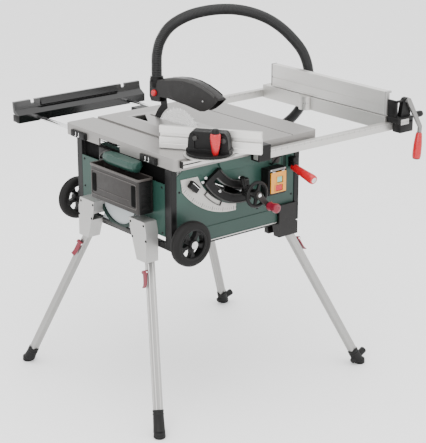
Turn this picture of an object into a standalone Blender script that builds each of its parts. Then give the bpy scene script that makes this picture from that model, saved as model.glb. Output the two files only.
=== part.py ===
"""Table saw on a folding leg stand, with its fences, guard and extensions.

Axes: +X to the operator's right, +Y away from the operator along the cut,
+Z up.  The origin is on the floor, below the middle of the object's box.
Everything is modelled from the front left corner of the table, at
(TABLE_LEFT, TABLE_FRONT), and hangs on one empty that stands there.
"""
import math

import bmesh
import bpy
from mathutils import Matrix, Vector

# ---------------------------------------------------------------- sizes
TABLE_LEFT = -0.4395
TABLE_FRONT = -0.4163

TABLE_WIDTH = 0.590
TABLE_DEPTH = 0.600
TABLE_HEIGHT = 0.850
APRON = 0.038
SKIN = 0.010
GAP = 0.0003

BODY_LEFT = 0.0
BODY_RIGHT = 0.532
BODY_FRONT = 0.025
BODY_BACK = 0.535
BODY_BOTTOM = 0.553
BODY_TOP = TABLE_HEIGHT - APRON
POST = 0.022
PANEL = 0.003

BLADE_X = 0.285
BLADE_Y = 0.340
BLADE_Z = 0.778
BLADE_RADIUS = 0.127
BLADE_BORE = 0.015
BLADE_THICKNESS = 0.0024
BLADE_TEETH = 40
TILT_Z = TABLE_HEIGHT

INSERT = (0.205, 0.345, 0.090, 0.540)
INSERT_THICKNESS = 0.003
MITRE_SLOT = (0.1120, 0.1310)
MITRE_SLOT_DEPTH = 0.006

HANDWHEEL_Z = 0.698
HANDWHEEL_RADIUS = 0.045
CRANK_ARM = (0.041, -0.043)
SLOT_RADIUS = TILT_Z - HANDWHEEL_Z

FLAP_HINGE = (0.407, -0.0165, 0.744)

COLUMN_X = 0.375
COLUMN_Y = (0.150, 0.509)
MOTOR_Y = 0.400
MOTOR_Z = 0.690
MOTOR_RADIUS = 0.050
BELT_X = (0.331, 0.344)
ARBOR_PULLEY = 0.022
MOTOR_PULLEY = 0.018

HOOD_WIDTH = 0.034
HOOD_WALL = 0.002
SPIGOT = (0.468, 0.990)
HOSE_RADIUS = 0.019
PORT = (0.360, 0.655)
GUARD_AXIS = (0.458, 0.938)

RAIL_Z = (0.802, 0.829)
RAIL_DEPTH = 0.0225
RAIL_CLEAR = 0.0135
EXTENSION_X = (0.889, 0.930)
FENCE_X = (0.893, 0.916)
FENCE_TOP = 0.933

MITRE_PIVOT = (0.1215, -0.015)
MITRE_ANGLE = -55.0

LEG_SIZE = (0.023, 0.027)
LEG_STUB = 0.016
PIN_RADIUS = 0.0045
LEG_STANCE = {
    "front_left": ((-0.016, 0.118, 0.522), (-0.142, -0.092)),
    "rear_left": ((-0.016, 0.440, 0.522), (-0.142, 0.672)),
    "front_right": ((0.505, 0.055, 0.515), (0.742, -0.080)),
    "rear_right": ((0.512, 0.517, 0.515), (0.742, 0.664)),
}
WHEEL_X = 0.038
WHEEL_Z = 0.581
WHEEL_RADIUS = 0.073
FRONT_WHEEL_Y = (-0.045, -0.007)
REAR_WHEEL_Y = (0.578, 0.616)

# free suction hose: points of its middle line, from the guard to the port
HOSE_ROUTE = (
    (0.285, 0.468, 0.9905), (0.285, 0.468, 1.025), (0.288, 0.469, 1.065),
    (0.306, 0.471, 1.110), (0.352, 0.474, 1.152), (0.435, 0.477, 1.178),
    (0.539, 0.480, 1.184), (0.640, 0.480, 1.174), (0.735, 0.480, 1.148),
    (0.820, 0.480, 1.108), (0.900, 0.482, 1.050), (0.972, 0.486, 0.975),
    (1.006, 0.491, 0.890), (0.999, 0.497, 0.815), (0.955, 0.506, 0.745),
    (0.880, 0.530, 0.695), (0.790, 0.575, 0.668), (0.690, 0.628, 0.652),
    (0.580, 0.668, 0.644), (0.475, 0.680, 0.646), (0.400, 0.660, 0.652),
    (0.366, 0.629, 0.655), (0.360, 0.5985, 0.655),
)
HOSE_POINTS = 64

# ---------------------------------------------------------------- colours
LOOKS = {
    "cast_aluminium": ((0.40, 0.39, 0.37), 0.45, 0.8),
    "rail_aluminium": ((0.66, 0.65, 0.62), 0.35, 0.9),
    "green_housing": ((0.040, 0.115, 0.085), 0.45, 0.0),
    "black_plastic": ((0.030, 0.028, 0.027), 0.50, 0.0),
    "grey_plastic": ((0.065, 0.055, 0.050), 0.50, 0.0),
    "black_steel": ((0.020, 0.020, 0.021), 0.45, 0.4),
    "steel": ((0.55, 0.55, 0.56), 0.30, 1.0),
    "chrome": ((0.75, 0.75, 0.76), 0.12, 1.0),
    "red_plastic": ((0.58, 0.020, 0.030), 0.35, 0.0),
    "yellow_plastic": ((0.80, 0.46, 0.06), 0.40, 0.0),
    "green_button": ((0.20, 0.45, 0.32), 0.40, 0.0),
    "scale_plate": ((0.62, 0.60, 0.56), 0.50, 0.0),
    "rubber": ((0.020, 0.018, 0.017), 0.75, 0.0),
    "hose_plastic": ((0.018, 0.018, 0.019), 0.55, 0.0),
}

for old in list(bpy.data.objects):
    bpy.data.objects.remove(old, do_unlink=True)
PARTS = bpy.data.collections.new("table_saw")
CUTTERS = bpy.data.collections.new("cutters")
bpy.context.scene.collection.children.link(PARTS)
bpy.context.scene.collection.children.link(CUTTERS)
MATERIALS = {}


# ---------------------------------------------------------------- helpers
def material(look):
    """One Principled material for each named look."""
    if look not in MATERIALS:
        colour, roughness, metallic = LOOKS[look]
        made = bpy.data.materials.new(look)
        made.use_nodes = True
        shader = made.node_tree.nodes["Principled BSDF"]
        shader.inputs["Base Color"].default_value = (*colour, 1.0)
        shader.inputs["Roughness"].default_value = roughness
        shader.inputs["Metallic"].default_value = metallic
        MATERIALS[look] = made
    return MATERIALS[look]


def joint_empty(name, place, parent=None):
    """An empty on a joint's axis; the pieces that move with it hang on it."""
    empty = bpy.data.objects.new(name, None)
    PARTS.objects.link(empty)
    empty.parent = parent or SAW
    empty.location = Vector(place) - Vector(empty.parent["place"])
    empty["place"] = place
    return empty


SAW = bpy.data.objects.new("saw_corner", None)
PARTS.objects.link(SAW)
SAW.location = (TABLE_LEFT, TABLE_FRONT, 0.0)
SAW["place"] = (0.0, 0.0, 0.0)


def settle(name, mesh, look, parent, cutter):
    """Put a mesh, drawn in the saw's coordinates, on its parent."""
    made = bpy.data.objects.new(name, mesh)
    if cutter:
        CUTTERS.objects.link(made)
        made.hide_render = True
        made.display_type = "WIRE"
    else:
        PARTS.objects.link(made)
        made.data.materials.append(material(look))
    holder = parent or SAW
    made.parent = holder
    made.location = -Vector(holder["place"])
    return made


def mesh_from(name, bm):
    bmesh.ops.recalc_face_normals(bm, faces=bm.faces)
    mesh = bpy.data.meshes.new(name)
    bm.to_mesh(mesh)
    bm.free()
    return mesh


def block(name, low, high, look="steel", parent=None, bevel=0.0, cutter=False):
    """A box between two corners, with rounded edges if asked."""
    low, high = Vector(low), Vector(high)
    bm = bmesh.new()
    bmesh.ops.create_cube(bm, size=1.0)
    bmesh.ops.scale(bm, vec=high - low, verts=bm.verts)
    bmesh.ops.translate(bm, vec=(low + high) / 2, verts=bm.verts)
    if bevel:
        bmesh.ops.bevel(bm, geom=bm.edges[:], offset=bevel, segments=2,
                        profile=0.5, affect="EDGES")
    return settle(name, mesh_from(name, bm), look, parent, cutter)


def along(start, end):
    """The matrix that takes +Z at the origin to the line start-end."""
    run = Vector(end) - Vector(start)
    return Matrix.Translation(Vector(start)) @ run.to_track_quat("Z", "Y").to_matrix().to_4x4()


def rod(name, start, end, radius, look="steel", parent=None, sides=24,
        cutter=False, end_radius=None):
    """A cylinder or cone between two points."""
    length = (Vector(end) - Vector(start)).length
    bm = bmesh.new()
    bmesh.ops.create_cone(bm, cap_ends=True, segments=sides, radius1=radius,
                          radius2=radius if end_radius is None else end_radius, depth=length)
    bmesh.ops.translate(bm, vec=(0, 0, length / 2), verts=bm.verts)
    bmesh.ops.transform(bm, matrix=along(start, end), verts=bm.verts)
    return settle(name, mesh_from(name, bm), look, parent, cutter)


def turned(name, profile, start, end, look="steel", parent=None, steps=32, cutter=False):
    """A solid of revolution: (radius, distance) pairs from start towards end."""
    bm = bmesh.new()
    places = [(0.0, profile[0][1])] + list(profile) + [(0.0, profile[-1][1])]
    verts = [bm.verts.new((radius, 0.0, rise)) for radius, rise in places]
    edges = [bm.edges.new(pair) for pair in zip(verts, verts[1:])]
    bmesh.ops.spin(bm, geom=verts + edges, cent=(0, 0, 0), axis=(0, 0, 1),
                   angle=2 * math.pi, steps=steps, use_merge=False, use_duplicate=False)
    bmesh.ops.remove_doubles(bm, verts=bm.verts, dist=0.00001)
    bmesh.ops.transform(bm, matrix=along(start, end), verts=bm.verts)
    return settle(name, mesh_from(name, bm), look, parent, cutter)


def arc(centre, radius, first, last, count):
    """Points on an arc; angles in degrees from +X of the drawing plane."""
    angles = [math.radians(first + (last - first) * i / (count - 1)) for i in range(count)]
    return [(centre[0] + radius * math.cos(a), centre[1] + radius * math.sin(a)) for a in angles]


PLANES = {
    "XZ": Matrix(((1, 0, 0, 0), (0, 0, -1, 0), (0, 1, 0, 0), (0, 0, 0, 1))),
    "YZ": Matrix(((0, 0, 1, 0), (1, 0, 0, 0), (0, 1, 0, 0), (0, 0, 0, 1))),
    "XY": Matrix.Identity(4),
}


def plate(name, outlines, plane, low, high, look="steel", parent=None, cutter=False,
          turn=None):
    """A flat piece: outlines drawn in a plane, from low to high along its normal.

    The first outline is the edge and the others are holes.  turn is an extra
    matrix that swings the finished plate.
    """
    curve = bpy.data.curves.new(name + "_outline", "CURVE")
    curve.dimensions = "2D"
    curve.fill_mode = "BOTH"
    curve.extrude = (high - low) / 2
    for outline in outlines:
        spline = curve.splines.new("POLY")
        spline.points.add(len(outline) - 1)
        for point, (u, v) in zip(spline.points, outline):
            point.co = (u, v, 0.0, 1.0)
        spline.use_cyclic_u = True
    drawn = bpy.data.objects.new(name + "_outline", curve)
    CUTTERS.objects.link(drawn)
    bpy.context.view_layer.update()
    seen = drawn.evaluated_get(bpy.context.evaluated_depsgraph_get())
    bm = bmesh.new()
    bm.from_mesh(bpy.data.meshes.new_from_object(seen))
    bpy.data.objects.remove(drawn, do_unlink=True)
    bmesh.ops.remove_doubles(bm, verts=bm.verts, dist=0.00001)
    middle = (low + high) / 2
    shift = {"XZ": (0, middle, 0), "YZ": (middle, 0, 0), "XY": (0, 0, middle)}[plane]
    place = Matrix.Translation(shift) @ PLANES[plane]
    bmesh.ops.transform(bm, matrix=(turn or Matrix.Identity(4)) @ place, verts=bm.verts)
    return settle(name, mesh_from(name, bm), look, parent, cutter)


def tube_along(name, points, radius, look, parent=None, sides=3):
    """A round bar or hose along a row of points."""
    curve = bpy.data.curves.new(name, "CURVE")
    curve.dimensions = "3D"
    curve.bevel_depth = radius
    curve.bevel_resolution = sides
    curve.use_fill_caps = True
    spline = curve.splines.new("POLY")
    spline.points.add(len(points) - 1)
    for point, place in zip(spline.points, points):
        point.co = (*place, 1.0)
    made = bpy.data.objects.new(name, curve)
    PARTS.objects.link(made)
    curve.materials.append(material(look))
    holder = parent or SAW
    made.parent = holder
    made.location = -Vector(holder["place"])
    return made


def boolean(base, other, operation):
    change = base.modifiers.new(operation.lower(), "BOOLEAN")
    change.operation = operation
    change.object = other
    other.hide_render = True
    other.display_type = "WIRE"
    if PARTS.objects.get(other.name):
        PARTS.objects.unlink(other)
        CUTTERS.objects.link(other)


def cut(base, *tools):
    for tool in tools:
        boolean(base, tool, "DIFFERENCE")
    return base


def fuse(base, *others):
    for other in others:
        boolean(base, other, "UNION")
    return base


def smooth_curve(points, count):
    """Evenly spaced points on a smooth curve through the given ones."""
    fine = []
    steps = 24
    for i in range(len(points) - 1):
        p0 = Vector(points[max(i - 1, 0)])
        p1, p2 = Vector(points[i]), Vector(points[i + 1])
        p3 = Vector(points[min(i + 2, len(points) - 1)])
        for k in range(steps):
            t = k / steps
            fine.append(0.5 * (2 * p1 + (p2 - p0) * t + (2 * p0 - 5 * p1 + 4 * p2 - p3) * t * t
                               + (3 * p1 - p0 - 3 * p2 + p3) * t ** 3))
    fine.append(Vector(points[-1]))
    walked = [0.0]
    for a, b in zip(fine, fine[1:]):
        walked.append(walked[-1] + (b - a).length)
    out = []
    j = 0
    for i in range(count):
        want = walked[-1] * i / (count - 1)
        while j < len(fine) - 2 and walked[j + 1] < want:
            j += 1
        share = (want - walked[j]) / max(walked[j + 1] - walked[j], 1e-9)
        out.append(fine[j].lerp(fine[j + 1], min(max(share, 0.0), 1.0)))
    return out


def rounded_outline(x0, y0, x1, y1, radius, count):
    """A rectangle with rounded corners."""
    corners = ((x1, y1, 0), (x0, y1, 90), (x0, y0, 180), (x1, y0, 270))
    out = []
    for x, y, first in corners:
        middle = (x - math.copysign(radius, x - x0 - radius), y - math.copysign(radius, y - y0
                                                                                 - radius))
        out += arc(middle, radius, first, first + 90, count)
    return out


def soften_rim(mesh, height, width):
    """Round the edge of a flat face that lies at one height."""
    bm = bmesh.new()
    bm.from_mesh(mesh)
    bmesh.ops.dissolve_limit(bm, angle_limit=0.01, verts=bm.verts, edges=bm.edges)
    rim = [e for e in bm.edges if all(abs(v.co.z - height) < 1e-5 for v in e.verts)]
    bmesh.ops.bevel(bm, geom=rim, offset=width, segments=2, profile=0.5, affect="EDGES")
    bm.to_mesh(mesh)
    bm.free()


# ---------------------------------------------------------------- table
def make_table():
    """Cast table: a ribbed skin with an apron, the throat and the mitre slot."""
    top, skin = TABLE_HEIGHT, TABLE_HEIGHT - SKIN
    wall = 0.007
    table = plate("table_top", [rounded_outline(0, 0, TABLE_WIDTH, TABLE_DEPTH, 0.016, 6)], "XY",
                  BODY_TOP, top, "cast_aluminium")
    soften_rim(table.data, top, 0.0016)
    x0, x1, y0, y1 = INSERT
    ledge = 0.006
    slot_low = top - MITRE_SLOT_DEPTH
    cut(table,
        block("c_under", (wall, wall, BODY_TOP - 0.01),
              (TABLE_WIDTH - wall, TABLE_DEPTH - wall, skin), cutter=True),
        block("c_throat", (x0 + ledge, y0 + ledge, skin - 0.01),
              (x1 - ledge, y1 - ledge, top + 0.01), cutter=True),
        block("c_ledge", (x0, y0, top - INSERT_THICKNESS - GAP), (x1, y1, top + 0.01), cutter=True),
        block("c_mitre", (MITRE_SLOT[0], -0.01, slot_low),
              (MITRE_SLOT[1], TABLE_DEPTH + 0.01, top + 0.01), cutter=True),
        block("c_line", (0.4785, -0.01, top - 0.003), (0.4825, TABLE_DEPTH + 0.01, top + 0.01),
              cutter=True),
        block("c_grip", (-0.01, 0.290, BODY_TOP - 0.01), (wall + 0.01, 0.405, top - 0.014),
              cutter=True))
    insert = plate("table_insert", [
        [(x0 + GAP, y0 + GAP), (x1 - GAP, y0 + GAP), (x1 - GAP, y1 - GAP), (x0 + GAP, y1 - GAP)],
        [(BLADE_X - 0.006, 0.165), (BLADE_X + 0.006, 0.165), (BLADE_X + 0.006, 0.506),
         (BLADE_X - 0.006, 0.506)],
        [(0.216, 0.524), (0.2725, 0.520), (0.220, 0.432)],
    ], "XY", top - INSERT_THICKNESS, top, "cast_aluminium")
    return table, insert


def make_front_rail():
    """Fixed scale rail on the left and the guide that the sliding rail leaves."""
    block("front_rail", (0.020, -RAIL_CLEAR + 0.001, 0.823), (0.2995, -GAP, 0.8436),
          "rail_aluminium", bevel=0.001)
    for name, y0, y1 in (("rail_guide", -RAIL_CLEAR - RAIL_DEPTH - 0.005, -GAP),
                         ("rear_guide", TABLE_DEPTH + GAP,
                          TABLE_DEPTH + RAIL_CLEAR + RAIL_DEPTH + 0.005)):
        guide = block(name, (0.300, y0, RAIL_Z[0] - 0.005), (0.352, y1, 0.849), "black_plastic",
                      bevel=0.003)
        inner = sorted((y0 + math.copysign(0.0045, y1 - y0), y1 - math.copysign(0.0125, y1 - y0)))
        if name == "rear_guide":
            inner = (TABLE_DEPTH + RAIL_CLEAR - 0.0005, y1 - 0.0045)
        cut(guide, block("c_" + name, (0.29, inner[0], RAIL_Z[0] - 0.0005),
                         (0.36, inner[1], RAIL_Z[1] + 0.0005), cutter=True))


# ---------------------------------------------------------------- housing
def make_chassis():
    """Four corner posts on a ring of base rails, one welded frame."""
    frame = block("chassis_frame", (BODY_LEFT, BODY_FRONT - 0.003, BODY_BOTTOM - 0.006),
                  (BODY_LEFT + POST, BODY_FRONT + 0.030, BODY_TOP - GAP), "black_steel",
                  bevel=0.002)
    right, back = BODY_RIGHT, BODY_BACK
    low, high = BODY_BOTTOM - 0.006, BODY_TOP - GAP
    rail = 0.020
    others = [
        block("c_post_fr", (right - POST, BODY_FRONT - 0.003, low), (right, BODY_FRONT + 0.030, high),
              bevel=0.002, cutter=True),
        block("c_post_rl", (0, back - 0.030, low), (POST, back, high), bevel=0.002, cutter=True),
        block("c_post_rr", (right - POST, back - 0.030, low), (right, back, high), bevel=0.002,
              cutter=True),
        block("c_rail_f", (0.01, BODY_FRONT + 0.006, low), (right - 0.01, BODY_FRONT + 0.024,
                                                            low + rail), cutter=True),
        block("c_rail_b", (0.01, back - 0.024, low), (right - 0.01, back - 0.006, low + rail),
              cutter=True),
        block("c_rail_l", (0.003, 0.04, low), (0.018, back - 0.01, low + rail), cutter=True),
        block("c_rail_r", (right - 0.018, 0.04, low), (right - 0.003, back - 0.01, low + rail),
              cutter=True),
    ]
    fuse(frame, *others)


def axle_hole(name, y):
    return rod(f"c_axle_{name}", (WHEEL_X, y - 0.01, WHEEL_Z), (WHEEL_X, y + 0.01, WHEEL_Z),
               0.0085, cutter=True)


def make_panels():
    """Green side panels between the posts; each is a separate pressing."""
    left, right = BODY_LEFT + POST + GAP, BODY_RIGHT - POST - GAP
    y0 = BODY_FRONT
    top = BODY_TOP - 0.004
    pivot = (BLADE_X, TILT_Z)
    window = arc(pivot, SLOT_RADIUS + 0.024, -84, -144, 14) + arc(pivot, SLOT_RADIUS - 0.024,
                                                                  -144, -84, 14)
    front = plate("front_panel", [
        [(left, BODY_BOTTOM), (right, BODY_BOTTOM), (right, top), (0.056, top),
         (left, top - 0.022)], window], "XZ", y0, y0 + PANEL, "green_housing")
    cut(front, axle_hole("front", y0))
    y_first, y_last = BODY_FRONT + 0.030 + GAP, BODY_BACK - 0.030 - GAP
    side_top = 0.760
    block("left_panel", (0.0, y_first, BODY_BOTTOM + 0.036), (PANEL, y_last, side_top),
          "green_housing")
    block("right_panel", (BODY_RIGHT - PANEL, y_first, BODY_BOTTOM + 0.016),
          (BODY_RIGHT, y_last, BODY_TOP - 0.004), "green_housing")
    rear = block("rear_panel", (left, BODY_BACK - PANEL, BODY_BOTTOM + 0.016),
                 (right, BODY_BACK, 0.775), "green_housing")
    port_hole = rod("c_port", (PORT[0], BODY_BACK - 0.02, PORT[1]),
                    (PORT[0], BODY_BACK + 0.02, PORT[1]), 0.0205, cutter=True)
    cut(rear, axle_hole("rear", BODY_BACK), port_hole)


def make_chip_port():
    """Pipe through the rear panel that the suction hose pushes onto."""
    port = turned("chip_port", [(0.0200, 0.0), (0.0200, 0.0055), (0.030, 0.0055), (0.030, 0.009),
                                (0.0235, 0.009), (0.0235, 0.035), (0.0215, 0.063)],
                  (PORT[0], BODY_BACK - 0.005, PORT[1]), (PORT[0], BODY_BACK + 0.1, PORT[1]),
                  "black_plastic")
    cut(port, rod("c_bore", (PORT[0], BODY_BACK - 0.05, PORT[1]),
                  (PORT[0], BODY_BACK + 0.08, PORT[1]), 0.0165, cutter=True))


def make_front_fittings():
    """Bevel scale, arc guide and the switch on the front panel."""
    pivot = (BLADE_X, TILT_Z)
    y1 = BODY_FRONT - GAP
    outer = arc((0.251, 0.900), 0.266, -88, -141, 20)
    inner = arc(pivot, 0.196, -157, -97, 16)
    plate("bevel_scale", [outer + [(0.038, 0.774)] + inner], "XZ", y1 - 0.002, y1, "scale_plate")
    guide = (arc(pivot, 0.191, -81, -148, 18) + arc(pivot, 0.117, -148, -81, 18))
    slot = (arc(pivot, SLOT_RADIUS + 0.0095, -85.5, -141, 16)
            + arc(pivot, SLOT_RADIUS - 0.0095, -141, -85.5, 16))
    plate("arc_guide", [guide, slot], "XZ", y1 - 0.014, y1, "black_plastic")

    box = block("switch_box", (0.366, -0.014, 0.665), (0.444, y1, 0.754), "black_plastic",
                bevel=0.004)
    cut(box, block("c_switch", (0.3725, -0.03, 0.672), (0.4390, 0.010, 0.7455), cutter=True))
    flap_empty = joint_empty("flap_hinge", FLAP_HINGE)
    flap = block("switch_flap", (0.3735, -0.0185, 0.6735), (0.4380, -0.0145, 0.7425),
                 "yellow_plastic", flap_empty, bevel=0.0008)
    cut(flap, block("c_start_hole", (0.398, -0.03, 0.7055), (0.424, 0.0, 0.7275), cutter=True),
        block("c_stop_hole", (0.391, -0.03, 0.6785), (0.423, 0.0, 0.7005), cutter=True))
    press = joint_empty("start_axis", (0.411, -0.010, 0.7165))
    block("start_button", (0.3995, -0.017, 0.7070), (0.4225, 0.004, 0.7260), "green_button", press,
          bevel=0.0015)
    press = joint_empty("stop_axis", (0.407, -0.010, 0.6895))
    block("stop_button", (0.3925, -0.019, 0.6800), (0.4215, 0.004, 0.6990), "red_plastic", press,
          bevel=0.0015)


def make_side_fittings():
    """Storage box and hand grip on the left panel."""
    box = block("storage_box", (-0.060, 0.110, 0.657), (-GAP, 0.375, 0.772), "grey_plastic",
                bevel=0.006)
    cut(box, block("c_box", (-0.053, 0.118, 0.665), (-0.006, 0.367, 0.790), cutter=True))
    grip = turned("side_grip", [(0.010, 0.0), (0.0205, 0.006), (0.024, 0.030), (0.024, 0.140),
                                (0.0205, 0.166), (0.010, 0.172)],
                  (-0.0245, 0.156, 0.7985), (-0.0245, 0.330, 0.7985), "green_housing", steps=20)
    cut(grip, block("c_grip_top", (-0.1, 0.1, 0.8115), (0.1, 0.4, 0.9), cutter=True),
        block("c_grip_low", (-0.1, 0.1, 0.70), (0.1, 0.4, 0.7732), cutter=True))


# ---------------------------------------------------------------- blade drive
def make_tilt_group():
    """Carriage that swings about the line where the blade meets the table."""
    tilt = joint_empty("blade_tilt", (BLADE_X, BLADE_Y, TILT_Z))
    shape = [(0.245, 0.660), (0.330, 0.660), (0.345, 0.598), (0.392, 0.598), (0.392, 0.806),
             (0.330, 0.806), (0.330, 0.775), (0.245, 0.775)]
    carriage = plate("tilt_carriage", [shape], "XZ", 0.060, 0.068, "black_steel", tilt)
    back = plate("c_back_plate", [shape], "XZ", 0.520, 0.528, cutter=True)
    x0, x1 = COLUMN_X - 0.008, COLUMN_X + 0.008
    joins = [back, block("c_top_bar", (x0, 0.064, 0.790), (x1, 0.524, 0.8055), cutter=True),
             block("c_arm_f", (x0, 0.064, 0.600), (x1, 0.160, 0.612), cutter=True),
             block("c_arm_b", (x0, 0.500, 0.600), (x1, 0.524, 0.612), cutter=True)]
    for number, y in enumerate(COLUMN_Y):
        joins.append(rod(f"c_column_{number}", (COLUMN_X, y, 0.606), (COLUMN_X, y, 0.800), 0.006,
                         cutter=True, sides=20))
    fuse(carriage, *joins)
    shaft_hole = rod("c_shaft_hole", (BLADE_X, 0.05, HANDWHEEL_Z), (BLADE_X, 0.075, HANDWHEEL_Z),
                     0.0083, cutter=True)
    cut(carriage, shaft_hole)

    crank = joint_empty("crank_axis", (BLADE_X, 0.0, HANDWHEEL_Z), tilt)
    wheel = turned("handwheel", [(0.012, 0.0), (HANDWHEEL_RADIUS - 0.006, 0.0),
                                 (HANDWHEEL_RADIUS, 0.004), (HANDWHEEL_RADIUS, 0.009),
                                 (HANDWHEEL_RADIUS - 0.006, 0.012), (0.016, 0.012),
                                 (0.014, 0.024), (0.0075, 0.026), (0.0075, 0.131),
                                 (0.0135, 0.132), (0.0085, 0.142)],
                   (BLADE_X, -0.056, HANDWHEEL_Z), (BLADE_X, 0.1, HANDWHEEL_Z), "black_plastic",
                   crank)
    reach = Vector((CRANK_ARM[0], 0, CRANK_ARM[1]))
    hub = Vector((BLADE_X, -0.0585, HANDWHEEL_Z))
    side = Vector((-CRANK_ARM[1], 0, CRANK_ARM[0])).normalized() * 0.008
    tip = hub + reach * 1.12
    arm = plate("c_arm", [[(p.x, p.z) for p in (hub - side, hub + side, tip + side, tip - side)]],
                "XZ", -0.063, -0.0545, cutter=True)
    fuse(wheel, arm)
    holes = []
    for number in range(4):
        angle = math.radians(20 + 90 * number)
        x = BLADE_X + 0.026 * math.cos(angle)
        z = HANDWHEEL_Z + 0.026 * math.sin(angle)
        if number != 3:
            holes.append(rod(f"c_spoke_{number}", (x, -0.07, z), (x, -0.035, z), 0.009,
                             cutter=True, sides=16))
    cut(wheel, *holes)
    knob_at = hub + reach
    spin = joint_empty("knob_axis", tuple(knob_at), crank)
    turned("crank_knob", [(0.010, 0.0), (0.015, 0.003), (0.0135, 0.018), (0.0155, 0.033),
                          (0.013, 0.040), (0.006, 0.042)],
           (knob_at.x, -0.0634, knob_at.z), (knob_at.x, -0.2, knob_at.z), "red_plastic", spin,
           steps=24)

    lock = joint_empty("lock_axis", (BLADE_X, -0.005, HANDWHEEL_Z), tilt)
    ring = turned("tilt_lock", [(0.019, 0.0), (0.019, 0.014)], (BLADE_X, -0.0115, HANDWHEEL_Z),
                  (BLADE_X, 0.1, HANDWHEEL_Z), "black_plastic", lock)
    lever = rod("c_lever", (BLADE_X - 0.010, -0.0045, HANDWHEEL_Z + 0.012),
                (BLADE_X - 0.029, -0.012, HANDWHEEL_Z + 0.052), 0.0068, cutter=True,
                end_radius=0.0085, sides=16)
    fuse(ring, lever)
    cut(ring, rod("c_lock_bore", (BLADE_X, -0.03, HANDWHEEL_Z), (BLADE_X, 0.02, HANDWHEEL_Z),
                  0.0145, cutter=True))

    screw_empty = joint_empty("screw_axis", (BLADE_X, 0.105, 0.70), tilt)
    screw_at = Vector((BLADE_X, 0.105, 0.600))
    turned("lift_screw", [(0.005, 0.0), (0.005, 0.066), (0.0165, 0.0665), (0.0165, 0.070),
                          (0.0065, 0.080), (0.0055, 0.0805), (0.0055, 0.215)],
           tuple(screw_at), tuple(screw_at + Vector((0, 0, 1))), "steel", screw_empty, steps=24)
    return tilt


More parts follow.
